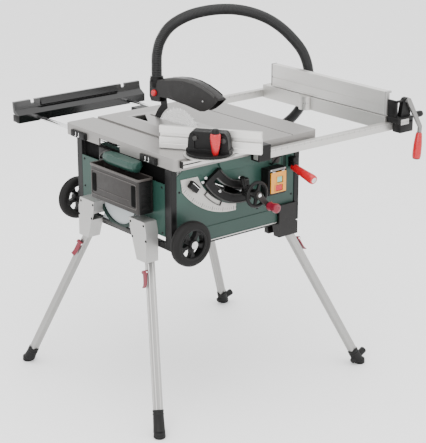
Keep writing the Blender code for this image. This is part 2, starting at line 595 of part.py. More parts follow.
def make_lift_group(tilt):
    """Carriage on the two columns with the arbor, the motor and the belt."""
    lift = joint_empty("blade_lift", (BLADE_X, BLADE_Y, BLADE_Z), tilt)
    web = [(0.135, 0.702), (0.340, 0.698), (0.345, 0.636), (0.462, 0.636), (0.463, 0.697),
           (0.517, 0.703), (0.517, 0.785), (0.480, 0.802), (0.200, 0.802), (0.135, 0.785)]
    carriage = plate("lift_carriage", [web], "YZ", 0.300, 0.307, "cast_aluminium", lift)
    x_arm = COLUMN_X - 0.004
    joins = [
        block("c_lift_arm_f", (0.3032, 0.1405, 0.705), (x_arm, 0.1595, 0.745), cutter=True),
        block("c_lift_arm_b", (0.3032, 0.5035, 0.7055), (x_arm, 0.5145, 0.7445), cutter=True),
        rod("c_bush_f", (COLUMN_X, COLUMN_Y[0], 0.700), (COLUMN_X, COLUMN_Y[0], 0.750), 0.0125,
            cutter=True),
        rod("c_bush_b", (COLUMN_X, COLUMN_Y[1], 0.700), (COLUMN_X, COLUMN_Y[1], 0.750), 0.0085,
            cutter=True),
        rod("c_bearing", (0.3034, BLADE_Y, BLADE_Z), (0.326, BLADE_Y, BLADE_Z), 0.024, cutter=True),
        plate("c_motor_plate", [[(0.352, 0.640), (0.462, 0.640), (0.462, 0.742), (0.352, 0.742)]],
              "YZ", 0.3465, 0.3505, cutter=True),
        block("c_motor_rib", (0.3035, 0.446, 0.646), (0.3485, 0.457, 0.737), cutter=True),
        block("c_nut_arm", (0.275, 0.092, 0.7655), (0.3045, 0.1425, 0.7835), cutter=True),
        block("c_knife_foot", (0.2863, 0.463, 0.746), (0.3025, 0.499, 0.789), cutter=True),
    ]
    fuse(carriage, *joins)
    cut(carriage,
        rod("c_col_f", (COLUMN_X, COLUMN_Y[0], 0.68), (COLUMN_X, COLUMN_Y[0], 0.77), 0.0063,
            cutter=True, sides=20),
        rod("c_col_b", (COLUMN_X, COLUMN_Y[1], 0.68), (COLUMN_X, COLUMN_Y[1], 0.77), 0.0063,
            cutter=True, sides=20),
        rod("c_arbor_bore", (0.29, BLADE_Y, BLADE_Z), (0.34, BLADE_Y, BLADE_Z), 0.0103,
            cutter=True),
        rod("c_motor_bore", (0.34, MOTOR_Y, MOTOR_Z), (0.36, MOTOR_Y, MOTOR_Z), 0.0075,
            cutter=True),
        rod("c_nut_bore", (BLADE_X, 0.105, 0.75), (BLADE_X, 0.105, 0.80), 0.0058, cutter=True))

    turned("motor", [(0.018, 0.0), (0.044, 0.001), (MOTOR_RADIUS, 0.008), (MOTOR_RADIUS, 0.092),
                     (0.046, 0.098), (0.040, 0.114), (0.020, 0.117)],
           (0.3508, MOTOR_Y, MOTOR_Z), (1.0, MOTOR_Y, MOTOR_Z), "black_steel", lift)
    spin = joint_empty("motor_axis", (0.34, MOTOR_Y, MOTOR_Z), lift)
    turned("motor_pulley", [(MOTOR_PULLEY, 0.0), (MOTOR_PULLEY, 0.0145), (0.007, 0.0145),
                            (0.007, 0.0205)],
           (0.330, MOTOR_Y, MOTOR_Z), (1.0, MOTOR_Y, MOTOR_Z), "steel", spin)

    arbor = joint_empty("arbor_axis", (BLADE_X, BLADE_Y, BLADE_Z), lift)
    bore = BLADE_BORE - GAP
    half = BLADE_THICKNESS / 2 + GAP
    turned("arbor", [(0.012, -0.014), (0.0150, -0.013), (0.0150, -0.006), (0.022, -0.006),
                     (0.022, -half), (bore, -half), (bore, half), (0.022, half),
                     (0.022, 0.006), (0.010, 0.006), (0.010, 0.0455), (ARBOR_PULLEY, 0.0455),
                     (ARBOR_PULLEY, 0.060), (0.008, 0.060), (0.008, 0.064)],
           (BLADE_X, BLADE_Y, BLADE_Z), (1.0, BLADE_Y, BLADE_Z), "steel", arbor)
    make_blade(arbor)
    make_belt(lift)
    knife_arc = arc((BLADE_Y, BLADE_Z), 0.1575, 2, 48, 14)
    inner_arc = arc((BLADE_Y, BLADE_Z), 0.1320, 58, 2, 14)
    plate("riving_knife", [knife_arc + [(0.455, 0.950), (0.418, 0.945)] + inner_arc
                           + [(0.468, 0.755), (0.492, 0.755)]],
          "YZ", BLADE_X - 0.001, BLADE_X + 0.001, "black_steel", lift)
    return lift


def make_blade(arbor):
    """Saw blade: a ring of raked teeth around a plain bore."""
    outline = []
    for tooth in range(BLADE_TEETH):
        for share, radius in ((0.0, BLADE_RADIUS), (0.12, BLADE_RADIUS - 0.0085),
                              (0.55, BLADE_RADIUS - 0.0055)):
            angle = 2 * math.pi * (tooth + share) / BLADE_TEETH
            outline.append((BLADE_Y + radius * math.cos(angle), BLADE_Z + radius * math.sin(angle)))
    bore = arc((BLADE_Y, BLADE_Z), BLADE_BORE, 0, 360 - 360 / 32, 32)
    half = BLADE_THICKNESS / 2
    plate("saw_blade", [outline, bore], "YZ", BLADE_X - half, BLADE_X + half, "chrome", arbor)


def make_belt(lift):
    """Flat belt around the two pulleys, with a hair of clearance to them."""
    step = Vector((MOTOR_Y - BLADE_Y, MOTOR_Z - BLADE_Z))
    heading = math.degrees(math.atan2(step.y, step.x))
    lean = math.degrees(math.acos((ARBOR_PULLEY - MOTOR_PULLEY) / step.length))

    def loop(extra):
        first = arc((BLADE_Y, BLADE_Z), ARBOR_PULLEY + extra, heading + lean,
                    heading + 360 - lean, 22)
        second = arc((MOTOR_Y, MOTOR_Z), MOTOR_PULLEY + extra, heading - lean, heading + lean, 18)
        return first + second

    plate("drive_belt", [loop(0.0034), loop(0.0006)], "YZ", BELT_X[0], BELT_X[1], "rubber", lift)


def make_guard(lift):
    """Guard hood on the riving knife, with its suction spigot and red catch."""
    swing = joint_empty("guard_swing", (BLADE_X, *GUARD_AXIS), lift)
    roof = [(0.446, 0.984), (0.400, 0.996), (0.350, 1.006), (0.300, 1.012), (0.250, 1.011),
            (0.205, 1.004), (0.165, 0.993), (0.124, 0.977)]
    sill = [(0.122, 0.971), (0.145, 0.952), (0.172, 0.933), (0.192, 0.923), (0.215, 0.919),
            (0.290, 0.926), (0.385, 0.930), (0.446, 0.926)]
    half = HOOD_WIDTH / 2
    hood = plate("guard_hood", [roof + sill], "YZ", BLADE_X - half, BLADE_X + half,
                 "grey_plastic", swing)
    inner = [(0.432, 0.900)] + [(0.285 + (y - 0.285) * 0.965, z - 0.004) for y, z in roof[:-1]]
    inner += [(0.150, 0.958), (0.176, 0.900)]
    cavity = plate("c_cavity", [inner], "YZ", BLADE_X - half + HOOD_WALL,
                   BLADE_X + half - HOOD_WALL, cutter=True)
    cut(hood, cavity)
    mount = plate("c_mount", [[(0.436, 0.908), (0.482, 0.904), (0.492, 0.920), (0.490, 0.975),
                               (0.436, 0.975)]], "YZ", BLADE_X - half + 0.001,
                  BLADE_X + half - 0.001, cutter=True)
    spigot = rod("c_spigot", (BLADE_X, SPIGOT[0], 0.953), (BLADE_X, SPIGOT[0], SPIGOT[1]), 0.0225,
                 cutter=True)
    fuse(hood, mount, spigot)
    cut(hood, plate("c_knife_slot", [[(0.40, 0.80), (0.51, 0.80), (0.51, 0.925), (0.482, 0.962),
                                      (0.40, 0.962)]], "YZ", BLADE_X - 0.0022, BLADE_X + 0.0022,
                    cutter=True),
        rod("c_catch_seat", (BLADE_X - half - 0.01, 0.460, 0.936),
            (BLADE_X - half + 0.0065, 0.460, 0.936), 0.0122, cutter=True, sides=24),
        rod("c_spigot_bore", (BLADE_X, SPIGOT[0], 0.966), (BLADE_X, SPIGOT[0], 1.1), 0.0175,
            cutter=True))
    catch = joint_empty("catch_axis", (BLADE_X - half, 0.460, 0.936), swing)
    turned("guard_button", [(0.0105, 0.0), (0.0115, 0.002), (0.0115, 0.007), (0.009, 0.010)],
           (BLADE_X - half + 0.0035, 0.460, 0.936), (BLADE_X - 1.0, 0.460, 0.936), "red_plastic",
           catch, steps=24)


def make_hose():
    tube_along("suction_hose", smooth_curve(HOSE_ROUTE, HOSE_POINTS), HOSE_RADIUS, "hose_plastic")


# ---------------------------------------------------------------- fences
def make_mitre():
    """Mitre gauge: bar in the table slot, swivelling head, fence and grip."""
    slide = joint_empty("mitre_slide", (*MITRE_PIVOT, TABLE_HEIGHT))
    block("mitre_bar", (MITRE_SLOT[0] + 0.0004, -0.075, TABLE_HEIGHT - MITRE_SLOT_DEPTH + GAP),
          (MITRE_SLOT[1] - 0.0004, 0.235, TABLE_HEIGHT - GAP), "steel", slide)
    swing = joint_empty("mitre_swing", (*MITRE_PIVOT, TABLE_HEIGHT), slide)
    turn = (Matrix.Translation((*MITRE_PIVOT, 0.0))
            @ Matrix.Rotation(math.radians(MITRE_ANGLE), 4, "Z"))
    base = TABLE_HEIGHT + 0.0008
    head = plate("mitre_head", [arc((0.0, -0.004), 0.072, 180, 360, 24)
                                + [(0.072, 0.012), (-0.072, 0.012)]], "XY", base, base + 0.007,
                 "black_plastic", swing, turn=turn)
    tower = plate("c_tower", [[(-0.067, 0.8565), (0.067, 0.8565), (0.065, 0.905), (0.056, 0.926),
                               (-0.056, 0.926), (-0.065, 0.905)]], "XZ", -0.020, 0.024,
                  cutter=True, turn=turn)
    fuse(head, tower)
    fence = joint_empty("mitre_fence_slide", (*MITRE_PIVOT, 0.89), swing)
    profile = [(0.0245, 0.8535), (0.0405, 0.8535), (0.0405, 0.9240), (0.0245, 0.9240),
               (0.0245, 0.9000), (0.0300, 0.9000), (0.0300, 0.8880), (0.0245, 0.8880)]
    plate("mitre_fence", [profile], "YZ", -0.170, 0.158, "rail_aluminium", fence, turn=turn)
    grip_at = turn @ Vector((0.030, -0.040, 0.0))
    grip = joint_empty("mitre_grip_axis", (grip_at.x, grip_at.y, 0.90), swing)
    turned("mitre_grip", [(0.007, 0.0), (0.0085, 0.004), (0.012, 0.020), (0.0155, 0.050),
                          (0.0165, 0.068), (0.0130, 0.0755), (0.0125, 0.084), (0.009, 0.088)],
           (grip_at.x, grip_at.y, base + 0.0075), (grip_at.x, grip_at.y, 1.5), "red_plastic",
           grip, steps=28)


def make_extension():
    """Width extension: two sliding rails, a cross beam and the rip fence on it."""
    slide = joint_empty("extension_slide", (0.90, 0.3, 0.82))
    y_front = (-RAIL_CLEAR - RAIL_DEPTH, -RAIL_CLEAR)
    y_rear = (TABLE_DEPTH + RAIL_CLEAR, TABLE_DEPTH + RAIL_CLEAR + RAIL_DEPTH)
    frame = block("extension_frame", (0.3005, y_front[0], RAIL_Z[0]),
                  (0.975, y_front[1], RAIL_Z[1]), "rail_aluminium", slide, bevel=0.001)
    fuse(frame,
         block("c_rear_rail", (0.3005, y_rear[0], RAIL_Z[0]), (0.930, y_rear[1], RAIL_Z[1]),
               bevel=0.001, cutter=True),
         block("c_beam", (EXTENSION_X[0], y_front[1] - 0.002, 0.800),
               (EXTENSION_X[1], y_rear[0] + 0.002, 0.8485), bevel=0.001, cutter=True),
         rod("c_boss", (EXTENSION_X[0] + 0.004, 0.383, 0.799),
             (EXTENSION_X[0] + 0.004, 0.383, 0.8495), 0.026, cutter=True))

    fence_slide = joint_empty("fence_slide", (0.905, 0.3, 0.88), slide)
    block("rip_fence", (FENCE_X[0], -0.012, TABLE_HEIGHT + 0.0015), (FENCE_X[1], 0.572, FENCE_TOP),
          "rail_aluminium", fence_slide, bevel=0.001)
    head = block("fence_head", (0.895, -0.074, RAIL_Z[1] + 0.0005), (0.968, -0.0165, 0.851),
                 "black_plastic", fence_slide, bevel=0.002)
    fuse(head,
         block("c_head_drop", (0.905, -0.074, 0.797), (0.968, -0.0365, 0.840), bevel=0.002,
               cutter=True),
         plate("c_head_fin", [[(0.922, 0.845), (0.967, 0.845), (0.966, 0.905), (0.952, 0.914),
                               (0.928, 0.914)]], "XZ", -0.060, -0.042, cutter=True),
         block("c_head_link", (0.898, -0.058, 0.849), (0.908, -0.0125, 0.908), cutter=True),
         block("c_head_top", (0.899, -0.057, 0.895), (0.940, -0.046, 0.907), cutter=True),
         rod("c_head_knob", (0.960, -0.0435, 0.8415), (1.012, -0.0435, 0.8415), 0.0055, cutter=True,
             sides=20),
         rod("c_head_grip", (1.010, -0.0435, 0.8415), (1.040, -0.0435, 0.8415), 0.011,
             cutter=True, sides=20))
    swing = joint_empty("fence_lever_swing", (0.949, -0.0665, 0.903), fence_slide)
    lever = turned("fence_lever", [(0.0105, 0.0), (0.0115, 0.010), (0.0155, 0.060),
                                   (0.0150, 0.084), (0.010, 0.094)],
                   (1.0075, -0.0665, 0.783), (0.990, -0.0665, 0.600), "red_plastic", swing,
                   steps=24)
    fuse(lever, plate("c_lever_arm", [[(0.940, 0.900), (0.944, 0.911), (0.955, 0.913),
                                       (1.019, 0.806), (1.015, 0.775), (1.001, 0.775),
                                       (1.002, 0.803)]], "XZ", -0.0710, -0.0605, cutter=True))


def make_outfeed():
    """Rear support bar on two rods that slide under the table."""
    slide = joint_empty("outfeed_slide", (0.29, 0.94, 0.79))
    section = [(0.920, 0.778), (0.938, 0.778), (0.940, 0.799), (0.958, 0.812), (0.963, 0.8495),
               (0.952, 0.8495), (0.947, 0.822), (0.920, 0.806)]
    bar = plate("outfeed_bar", [section], "YZ", 0.015, 0.565, "black_steel", slide)
    for number, x in enumerate((0.095, 0.490)):
        cut(bar, block(f"c_notch_{number}", (x - 0.010, 0.945, 0.836), (x + 0.008, 0.98, 0.86),
                       cutter=True))
        fuse(bar, rod(f"c_rod_{number}", (x, 0.430, 0.7905), (x, 0.932, 0.7905), 0.0065,
                      cutter=True, sides=20))


def make_clamp():
    """Lever that locks the width extension, with a red grip facing forwards."""
    hub = Vector((0.497, 0.0, 0.762))
    swing = joint_empty("clamp_turn", tuple(hub))
    lever = turned("clamp_lever", [(0.011, 0.0), (0.011, 0.024)], (hub.x, 0.0, hub.z),
                   (hub.x, 1.0, hub.z), "red_plastic", swing, steps=20)
    fuse(lever,
         block("c_clamp_arm", (hub.x - 0.006, 0.004, 0.724), (hub.x + 0.006, 0.014, hub.z),
               cutter=True),
         rod("c_clamp_grip", (hub.x, 0.016, 0.737), (hub.x, -0.088, 0.712), 0.0120,
             end_radius=0.0160, cutter=True, sides=20))


# ---------------------------------------------------------------- stand
def leg_frame(name):
    """Pivot, foot and the three directions of one leg: down, pin and inward."""
    pivot, (fx, fy) = LEG_STANCE[name]
    pivot, foot = Vector(pivot), Vector((fx, fy, 0.0))
    down = (foot - pivot).normalized()
    inward = Vector((1, 0, 0)) if "left" in name else Vector((-1, 0, 0))
    pin = down.cross(inward).normalized()
    return pivot, foot, down, pin, pin.cross(down).normalized()


def beam_between(name, start, end, pin, across, size, look, parent=None, cutter=False,
                 bevel=0.0):
    """A square bar from start to end, its sides along pin and across."""
    down = (end - start).normalized()
    length = (end - start).length
    bm = bmesh.new()
    bmesh.ops.create_cube(bm, size=1.0)
    bmesh.ops.scale(bm, vec=(size[0], size[1], length), verts=bm.verts)
    if bevel:
        rising = [e for e in bm.edges if abs(e.verts[0].co.z - e.verts[1].co.z) > length / 2]
        bmesh.ops.bevel(bm, geom=rising, offset=bevel, segments=2, profile=0.5, affect="EDGES")
    turn = Matrix((pin, across, down)).transposed().to_4x4()
    middle = (start + end) / 2
    bmesh.ops.transform(bm, matrix=Matrix.Translation(middle) @ turn, verts=bm.verts)
    return settle(name, mesh_from(name, bm), look, parent, cutter)


def make_leg(name):
    """One folding leg with its boot, its bracket and the release lever."""
    pivot, foot, down, pin, across = leg_frame(name)
    hinge = joint_empty(f"leg_{name}_fold", tuple(pivot))
    leg = beam_between(f"leg_{name}", pivot - down * LEG_STUB, foot - down * 0.014, pin, across,
                       LEG_SIZE, "rail_aluminium", hinge, bevel=0.005)
    make_foot(name, leg, foot, down, pin, across)
    cut(leg, rod(f"c_pivot_{name}", pivot - pin * 0.03, pivot + pin * 0.03, PIN_RADIUS + 0.0004,
                 cutter=True, sides=16))
    if "left" in name:
        bracket = side_bracket(name, pivot)
    else:
        bracket = corner_bracket(name, pivot)
    fuse(bracket, rod(f"c_pin_{name}", pivot - pin * 0.0215, pivot + pin * 0.0215, PIN_RADIUS,
                      cutter=True, sides=16))
    make_release(name, pivot, down, pin, across, hinge)


def make_foot(name, leg, foot, down, pin, across):
    """The rubber end of a leg, with a flat that rests on the floor."""
    if name == "front_left":
        fuse(leg, rod(f"c_shoe_{name}", foot - down * 0.086, foot - down * 0.018, 0.0165,
                      cutter=True, sides=20, end_radius=0.0195),
             rod(f"c_pad_{name}", foot, foot + Vector((0, 0, 0.022)), 0.0190, cutter=True,
                 sides=20, end_radius=0.0180))
        return
    fuse(leg, rod(f"c_shoe_{name}", foot - down * 0.048, foot - down * 0.014, 0.0160,
                  cutter=True, sides=20, end_radius=0.0185),
         rod(f"c_pad_{name}", foot, foot + Vector((0, 0, 0.018)), 0.0180, cutter=True, sides=20,
             end_radius=0.0165))
    if "right" in name:
        middle = foot - down * 0.026
        fuse(leg, rod(f"c_lobe_{name}", middle - across * 0.044, middle + across * 0.026, 0.0120,
                      cutter=True, sides=16, end_radius=0.0100))


def leg_slot(name, pivot, low, high):
    """The slot of one bracket: a slab parallel to the plane its leg folds in."""
    pin = leg_frame(name)[3]
    width, rise = LEG_SIZE[0] + 0.002, 0.0240
    bm = bmesh.new()
    bmesh.ops.create_cube(bm, size=1.0)
    bmesh.ops.scale(bm, vec=(high - low, width, 0.3 + rise), verts=bm.verts)
    bmesh.ops.translate(bm, vec=((high + low) / 2, 0, (rise - 0.3) / 2), verts=bm.verts)
    if pin.y < 0:
        pin = -pin
    side = Vector((1, 0, 0))
    turn = Matrix((side, pin, side.cross(pin))).transposed().to_4x4()
    bmesh.ops.transform(bm, matrix=Matrix.Translation(pivot) @ turn, verts=bm.verts)
    return settle(f"c_slot_{name}", mesh_from("slot", bm), "steel", None, True)


def side_bracket(name, pivot):
    """Cast bracket bolted to the left side of the housing."""
    y, z = pivot.y, pivot.z
    lean = 0.5 * (LEG_STANCE[name][1][1] - y) / z
    top, knee = y - lean * 0.112, y - lean * 0.080
    shell = [(top - 0.040, z + 0.112), (top + 0.040, z + 0.112), (knee + 0.043, z + 0.080),
             (y + 0.026, z - 0.020), (y - 0.026, z - 0.020), (knee - 0.043, z + 0.080)]
    bracket = plate(f"bracket_{name}", [shell], "YZ", pivot.x - 0.031, BODY_LEFT - GAP,
                    "rail_aluminium")
    cut(bracket, leg_slot(name, pivot, -0.027, 0.1),
        block(f"c_hollow_{name}", (pivot.x - 0.027, top - 0.032, z + 0.046),
              (BODY_LEFT + 0.01, top + 0.032, z + 0.104), cutter=True))
    return bracket


def corner_bracket(name, pivot):
    """Pressed bracket under a right corner, with a plate up the housing."""
    front = name.startswith("front")
    sign = 1 if front else -1
    face = BODY_FRONT - 0.0033 if front else BODY_BACK + GAP
    inner = pivot.y + sign * 0.031
    edge = face - sign * 0.009
    y0, y1 = sorted((edge, inner))
    low = BODY_BOTTOM - 0.006 - GAP
    bracket = block(f"bracket_{name}", (0.439, y0, pivot.z - 0.012), (pivot.x + 0.016, y1, low),
                    "black_steel")
    y0, y1 = sorted((edge, face))
    fuse(bracket, block(f"c_wing_{name}", (0.4392, y0 + 0.0001, pivot.z - 0.011),
                        (0.5120, y1, 0.613), cutter=True))
    cut(bracket, leg_slot(name, pivot, -0.2, 0.2))
    return bracket


def make_release(name, pivot, down, pin, across, hinge):
    """Red lever on the outside of a leg that lets its lock go."""
    at = pivot + down * 0.060 - across * (LEG_SIZE[1] / 2 + 0.007)
    swing = joint_empty(f"release_{name}_axis", tuple(at), hinge)
    lever = rod(f"release_{name}", at - pin * 0.011, at + pin * 0.011, 0.0062, "red_plastic", swing,
                sides=18)
    fuse(lever, beam_between(f"c_release_{name}", at + down * 0.002, at + down * 0.048
                             - across * 0.004, pin, across, (0.016, 0.005), "steel", cutter=True))


def make_wheels():
    """Two transport wheels and their axle, low on the left side."""
    turned("wheel_axle", [(0.0065, 0.0), (0.0065, 0.6660), (0.009, 0.6665), (0.009, 0.6705)],
           (WHEEL_X, FRONT_WHEEL_Y[0] - 0.004, WHEEL_Z), (WHEEL_X, 1.0, WHEEL_Z), "steel",
           steps=20)
    for name, (y0, y1) in (("wheel_front", FRONT_WHEEL_Y), ("wheel_rear", REAR_WHEEL_Y)):
        spin = joint_empty(name + "_axis", (WHEEL_X, (y0 + y1) / 2, WHEEL_Z))
        wide = y1 - y0
        wheel = turned(name, [(0.020, 0.0), (WHEEL_RADIUS - 0.012, 0.0), (WHEEL_RADIUS - 0.003,
                              0.005), (WHEEL_RADIUS, 0.012), (WHEEL_RADIUS, wide - 0.012),
                              (WHEEL_RADIUS - 0.003, wide - 0.005), (WHEEL_RADIUS - 0.012, wide),
                              (0.020, wide)],
                       (WHEEL_X, y0, WHEEL_Z), (WHEEL_X, 1.0, WHEEL_Z), "rubber", spin, steps=40)
        tools = [rod(f"c_{name}_bore", (WHEEL_X, y0 - 0.01, WHEEL_Z), (WHEEL_X, y1 + 0.01, WHEEL_Z),
                     0.0068, cutter=True, sides=20)]
        for number in range(5):
            angle = math.radians(90 + 72 * number)
            x = WHEEL_X + 0.033 * math.cos(angle)
            z = WHEEL_Z + 0.033 * math.sin(angle)
            tools.append(rod(f"c_{name}_{number}", (x, y0 - 0.01, z), (x, y1 + 0.01, z), 0.0125,
                             cutter=True, sides=14))
        cut(wheel, *tools)


def main():
    make_table()
    make_front_rail()
    make_chassis()
    make_panels()
    make_chip_port()
    make_front_fittings()
    make_side_fittings()
    tilt = make_tilt_group()
    lift = make_lift_group(tilt)
    make_guard(lift)
    make_hose()
    make_mitre()
    make_extension()
    make_outfeed()
    make_clamp()
    for name in LEG_STANCE:
        make_leg(name)
    make_wheels()
    bpy.context.view_layer.update()


main()
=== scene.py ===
import math

import bmesh
import bpy
from mathutils import Matrix, Vector


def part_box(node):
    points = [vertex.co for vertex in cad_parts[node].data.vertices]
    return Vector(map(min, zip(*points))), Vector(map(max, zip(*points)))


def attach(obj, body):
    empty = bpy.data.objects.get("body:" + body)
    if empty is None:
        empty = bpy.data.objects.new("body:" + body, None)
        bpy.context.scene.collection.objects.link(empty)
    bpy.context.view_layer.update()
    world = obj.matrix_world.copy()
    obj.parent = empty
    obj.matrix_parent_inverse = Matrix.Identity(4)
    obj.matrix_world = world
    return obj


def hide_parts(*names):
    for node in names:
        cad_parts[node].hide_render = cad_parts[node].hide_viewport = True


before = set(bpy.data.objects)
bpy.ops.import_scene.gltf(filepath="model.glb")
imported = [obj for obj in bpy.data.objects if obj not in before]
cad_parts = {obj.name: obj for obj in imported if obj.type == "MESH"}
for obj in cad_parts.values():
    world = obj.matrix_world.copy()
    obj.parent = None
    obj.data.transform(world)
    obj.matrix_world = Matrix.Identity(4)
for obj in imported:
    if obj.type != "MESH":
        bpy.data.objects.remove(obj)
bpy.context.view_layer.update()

TABLE_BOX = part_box("table_top")
CORNER = Vector((TABLE_BOX[0][0], TABLE_BOX[0][1], 0.0))
UP, RIGHT = Vector((0, 0, 1)), Vector((1, 0, 0))

# sizes of the saw, from the front left corner of its table, in metres
TOP = 0.85
PIVOT = Vector((0.285, 0.34, 0.85))
ARBOR = Vector((0.285, 0.34, 0.778))
HAND = Vector((0.285, 0.0, 0.698))
MITRE = Vector((0.1215, -0.015, 0.0))
BLADE_RADIUS = 0.127
AXLE_X, AXLE_Z, WHEEL_WIDTH = 0.038, 0.581, 0.038
OUTFEED_RODS = {"left": 0.095, "right": 0.49}
HOSE_RADIUS = 0.019


LENS = 119.14  # millimetres
CAMERA_AZIMUTH, CAMERA_ELEVATION = math.radians(-39.19), math.radians(18.4)
CAMERA_PLACE = Vector((-2.5096, -3.2589, 2.0226))


# ------------------------------------------------------------ camera and light
def camera():
    """Long lens, above and to the left of the saw's front."""
    data = bpy.data.cameras.new("camera")
    data.sensor_fit = "HORIZONTAL"
    data.sensor_width = 36.0
    data.lens = LENS
    data.clip_end = 60
    azimuth, elevation = CAMERA_AZIMUTH, CAMERA_ELEVATION
    right = Vector((math.cos(azimuth), math.sin(azimuth), 0))
    back = Vector((math.sin(azimuth) * math.cos(elevation),
                   -math.cos(azimuth) * math.cos(elevation), math.sin(elevation)))
    up = back.cross(right)
    made = bpy.data.objects.new("camera", data)
    turn = Matrix((right, up, back)).transposed().to_4x4()
    made.matrix_world = Matrix.Translation(CORNER + CAMERA_PLACE) @ turn
    bpy.context.scene.collection.objects.link(made)
    bpy.context.scene.camera = made


def softbox(name, place, aim, size, power):
    data = bpy.data.lights.new(name, "AREA")
    data.shape = "RECTANGLE"
    data.size, data.size_y = size
    data.energy = power
    made = bpy.data.objects.new(name, data)
    made.location = place
    made.rotation_euler = (Vector(aim) - Vector(place)).to_track_quat("-Z", "Y").to_euler()
    bpy.context.scene.collection.objects.link(made)


def studio():
    """Pale floor, white surroundings and three large soft lights."""
    world = bpy.data.worlds.new("studio")
    world.use_nodes = True
    world.node_tree.nodes["Background"].inputs["Color"].default_value = (1, 1, 1, 1)
    world.node_tree.nodes["Background"].inputs["Strength"].default_value = 2.1
    bpy.context.scene.world = world
    softbox("overhead", (-0.3, -0.4, 3.6), (0, 0, 0.6), (3.2, 3.2), 70)
    softbox("front_left", (-3.6, -2.4, 2.4), (0, 0, 0.7), (2.0, 2.4), 90)
    softbox("front_right", (2.6, -3.6, 1.8), (0, 0, 0.7), (1.6, 2.0), 22)
    bm = bmesh.new()
    bmesh.ops.create_grid(bm, x_segments=1, y_segments=1, size=30)
    mesh = bpy.data.meshes.new("floor")
    bm.to_mesh(mesh)
    bm.free()
    floor = bpy.data.objects.new("floor", mesh)
    bpy.context.scene.collection.objects.link(floor)
    floor.data.materials.append(floor_paint())


# ------------------------------------------------------------ shader maths
class Value:
    """A socket that is worked with like a number; each step is a Math node."""

    def __init__(self, shader, socket):
        self.shader, self.socket = shader, socket

    def math(self, operation, *others):
        return self.shader.node("ShaderNodeMath", [self, *others], operation=operation)

    def __add__(self, other):
        return self.math("ADD", other)

    __radd__ = __add__

    def __sub__(self, other):
        return self.math("SUBTRACT", other)

    def __rsub__(self, other):
        return self.shader.node("ShaderNodeMath", [other, self], operation="SUBTRACT")

    def __mul__(self, other):
        return self.math("MULTIPLY", other)

    __rmul__ = __mul__

    def __truediv__(self, other):
        return self.math("DIVIDE", other)

    def __rtruediv__(self, other):
        return self.shader.node("ShaderNodeMath", [other, self], operation="DIVIDE")

    def __pow__(self, other):
        return self.math("POWER", other)

    def __lt__(self, other):
        return self.math("LESS_THAN", other)

    def __gt__(self, other):
        return self.math("GREATER_THAN", other)

    def part(self):
        return self.math("FRACT")

    def size(self):
        return self.math("ABSOLUTE")

    def squeeze(self, low, high):
        """0 below low, 1 above high, smooth between."""
        return self.shader.node("ShaderNodeMapRange", {0: self, 1: low, 2: high},
            interpolation_type="SMOOTHSTEP")


class Shader:
    """A material with a Principled shader, and the means to feed it."""

    def __init__(self, name, colour=(0.5, 0.5, 0.5), roughness=0.5, metallic=0.0, **fixed):
        self.material = bpy.data.materials.new(name)
        self.material.use_nodes = True
        self.tree = self.material.node_tree
        self.surface = self.tree.nodes["Principled BSDF"]
        self.colour = colour
        self.feed("Base Color", (*colour, 1.0))
        self.feed("Roughness", roughness)
        self.feed("Metallic", metallic)
        for socket, value in fixed.items():
            self.surface.inputs[socket.replace("_", " ")].default_value = value
        self.place = self.node("ShaderNodeTexCoord", output="Object")

    def connect(self, value, socket):
        if isinstance(value, Value):
            self.tree.links.new(value.socket, socket)
        elif isinstance(value, tuple) and len(value) == 3 and socket.type == "RGBA":
            socket.default_value = (*value, 1.0)
        else:
            socket.default_value = value

    def node(self, kind, inputs=(), output=0, stops=None, **settings):
        """Any node: settings first, then its sockets by place or by name."""
        made = self.tree.nodes.new(kind)
        for key, value in settings.items():
            setattr(made, key, value)
        if stops:
            ramp = made.color_ramp
            for spot, colour in stops[len(ramp.elements):]:
                ramp.elements.new(spot)
            for element, (spot, colour) in zip(ramp.elements, stops):
                element.position, element.color = spot, (*colour, 1.0)
        pairs = inputs.items() if isinstance(inputs, dict) else enumerate(inputs)
        for key, value in pairs:
            self.connect(value, made.inputs[key])
        return Value(self, made.outputs[output])

    def feed(self, socket, value):
        self.connect(value, self.surface.inputs[socket])

    def axis(self, name, place=None):
        return self.node("ShaderNodeSeparateXYZ", [place or self.place], output=name)

    def moved(self, centre=(0, 0, 0), scale=(1, 1, 1), turn=(0, 0, 0)):
        """Coordinates measured from a point, stretched by scale."""
        shifted = self.node("ShaderNodeVectorMath", {0: self.place, 1: tuple(centre)},
            operation="SUBTRACT")
        return self.node("ShaderNodeMapping", {"Vector": shifted, "Scale": tuple(scale),
            "Rotation": tuple(turn)})

    def noise(self, scale, detail=3.0, rough=0.5, place=None):
        return self.node("ShaderNodeTexNoise", {"Vector": place or self.place, "Scale": scale,
            "Detail": detail, "Roughness": rough})

    def mix(self, share, first, second):
        return self.node("ShaderNodeMix", {0: share, 6: first, 7: second}, output=2,
            data_type="RGBA")

    def shade(self, share, low, high):
        """The material's own colour, scaled from low to high by a share."""
        scaled = [tuple(min(c * k, 1.0) for c in self.colour) for k in (low, high)]
        return self.mix(share, *scaled)

    def bump(self, height, distance, strength=1.0):
        self.feed("Normal", self.node("ShaderNodeBump", {"Height": height, "Strength": strength,
            "Distance": distance}, output="Normal"))
        return self


def floor_paint():
    made = Shader("pale_floor", (0.93, 0.93, 0.93), 0.55)
    made.feed("Base Color", made.shade(made.noise(1.5), 0.99, 1.0))
    return made.material


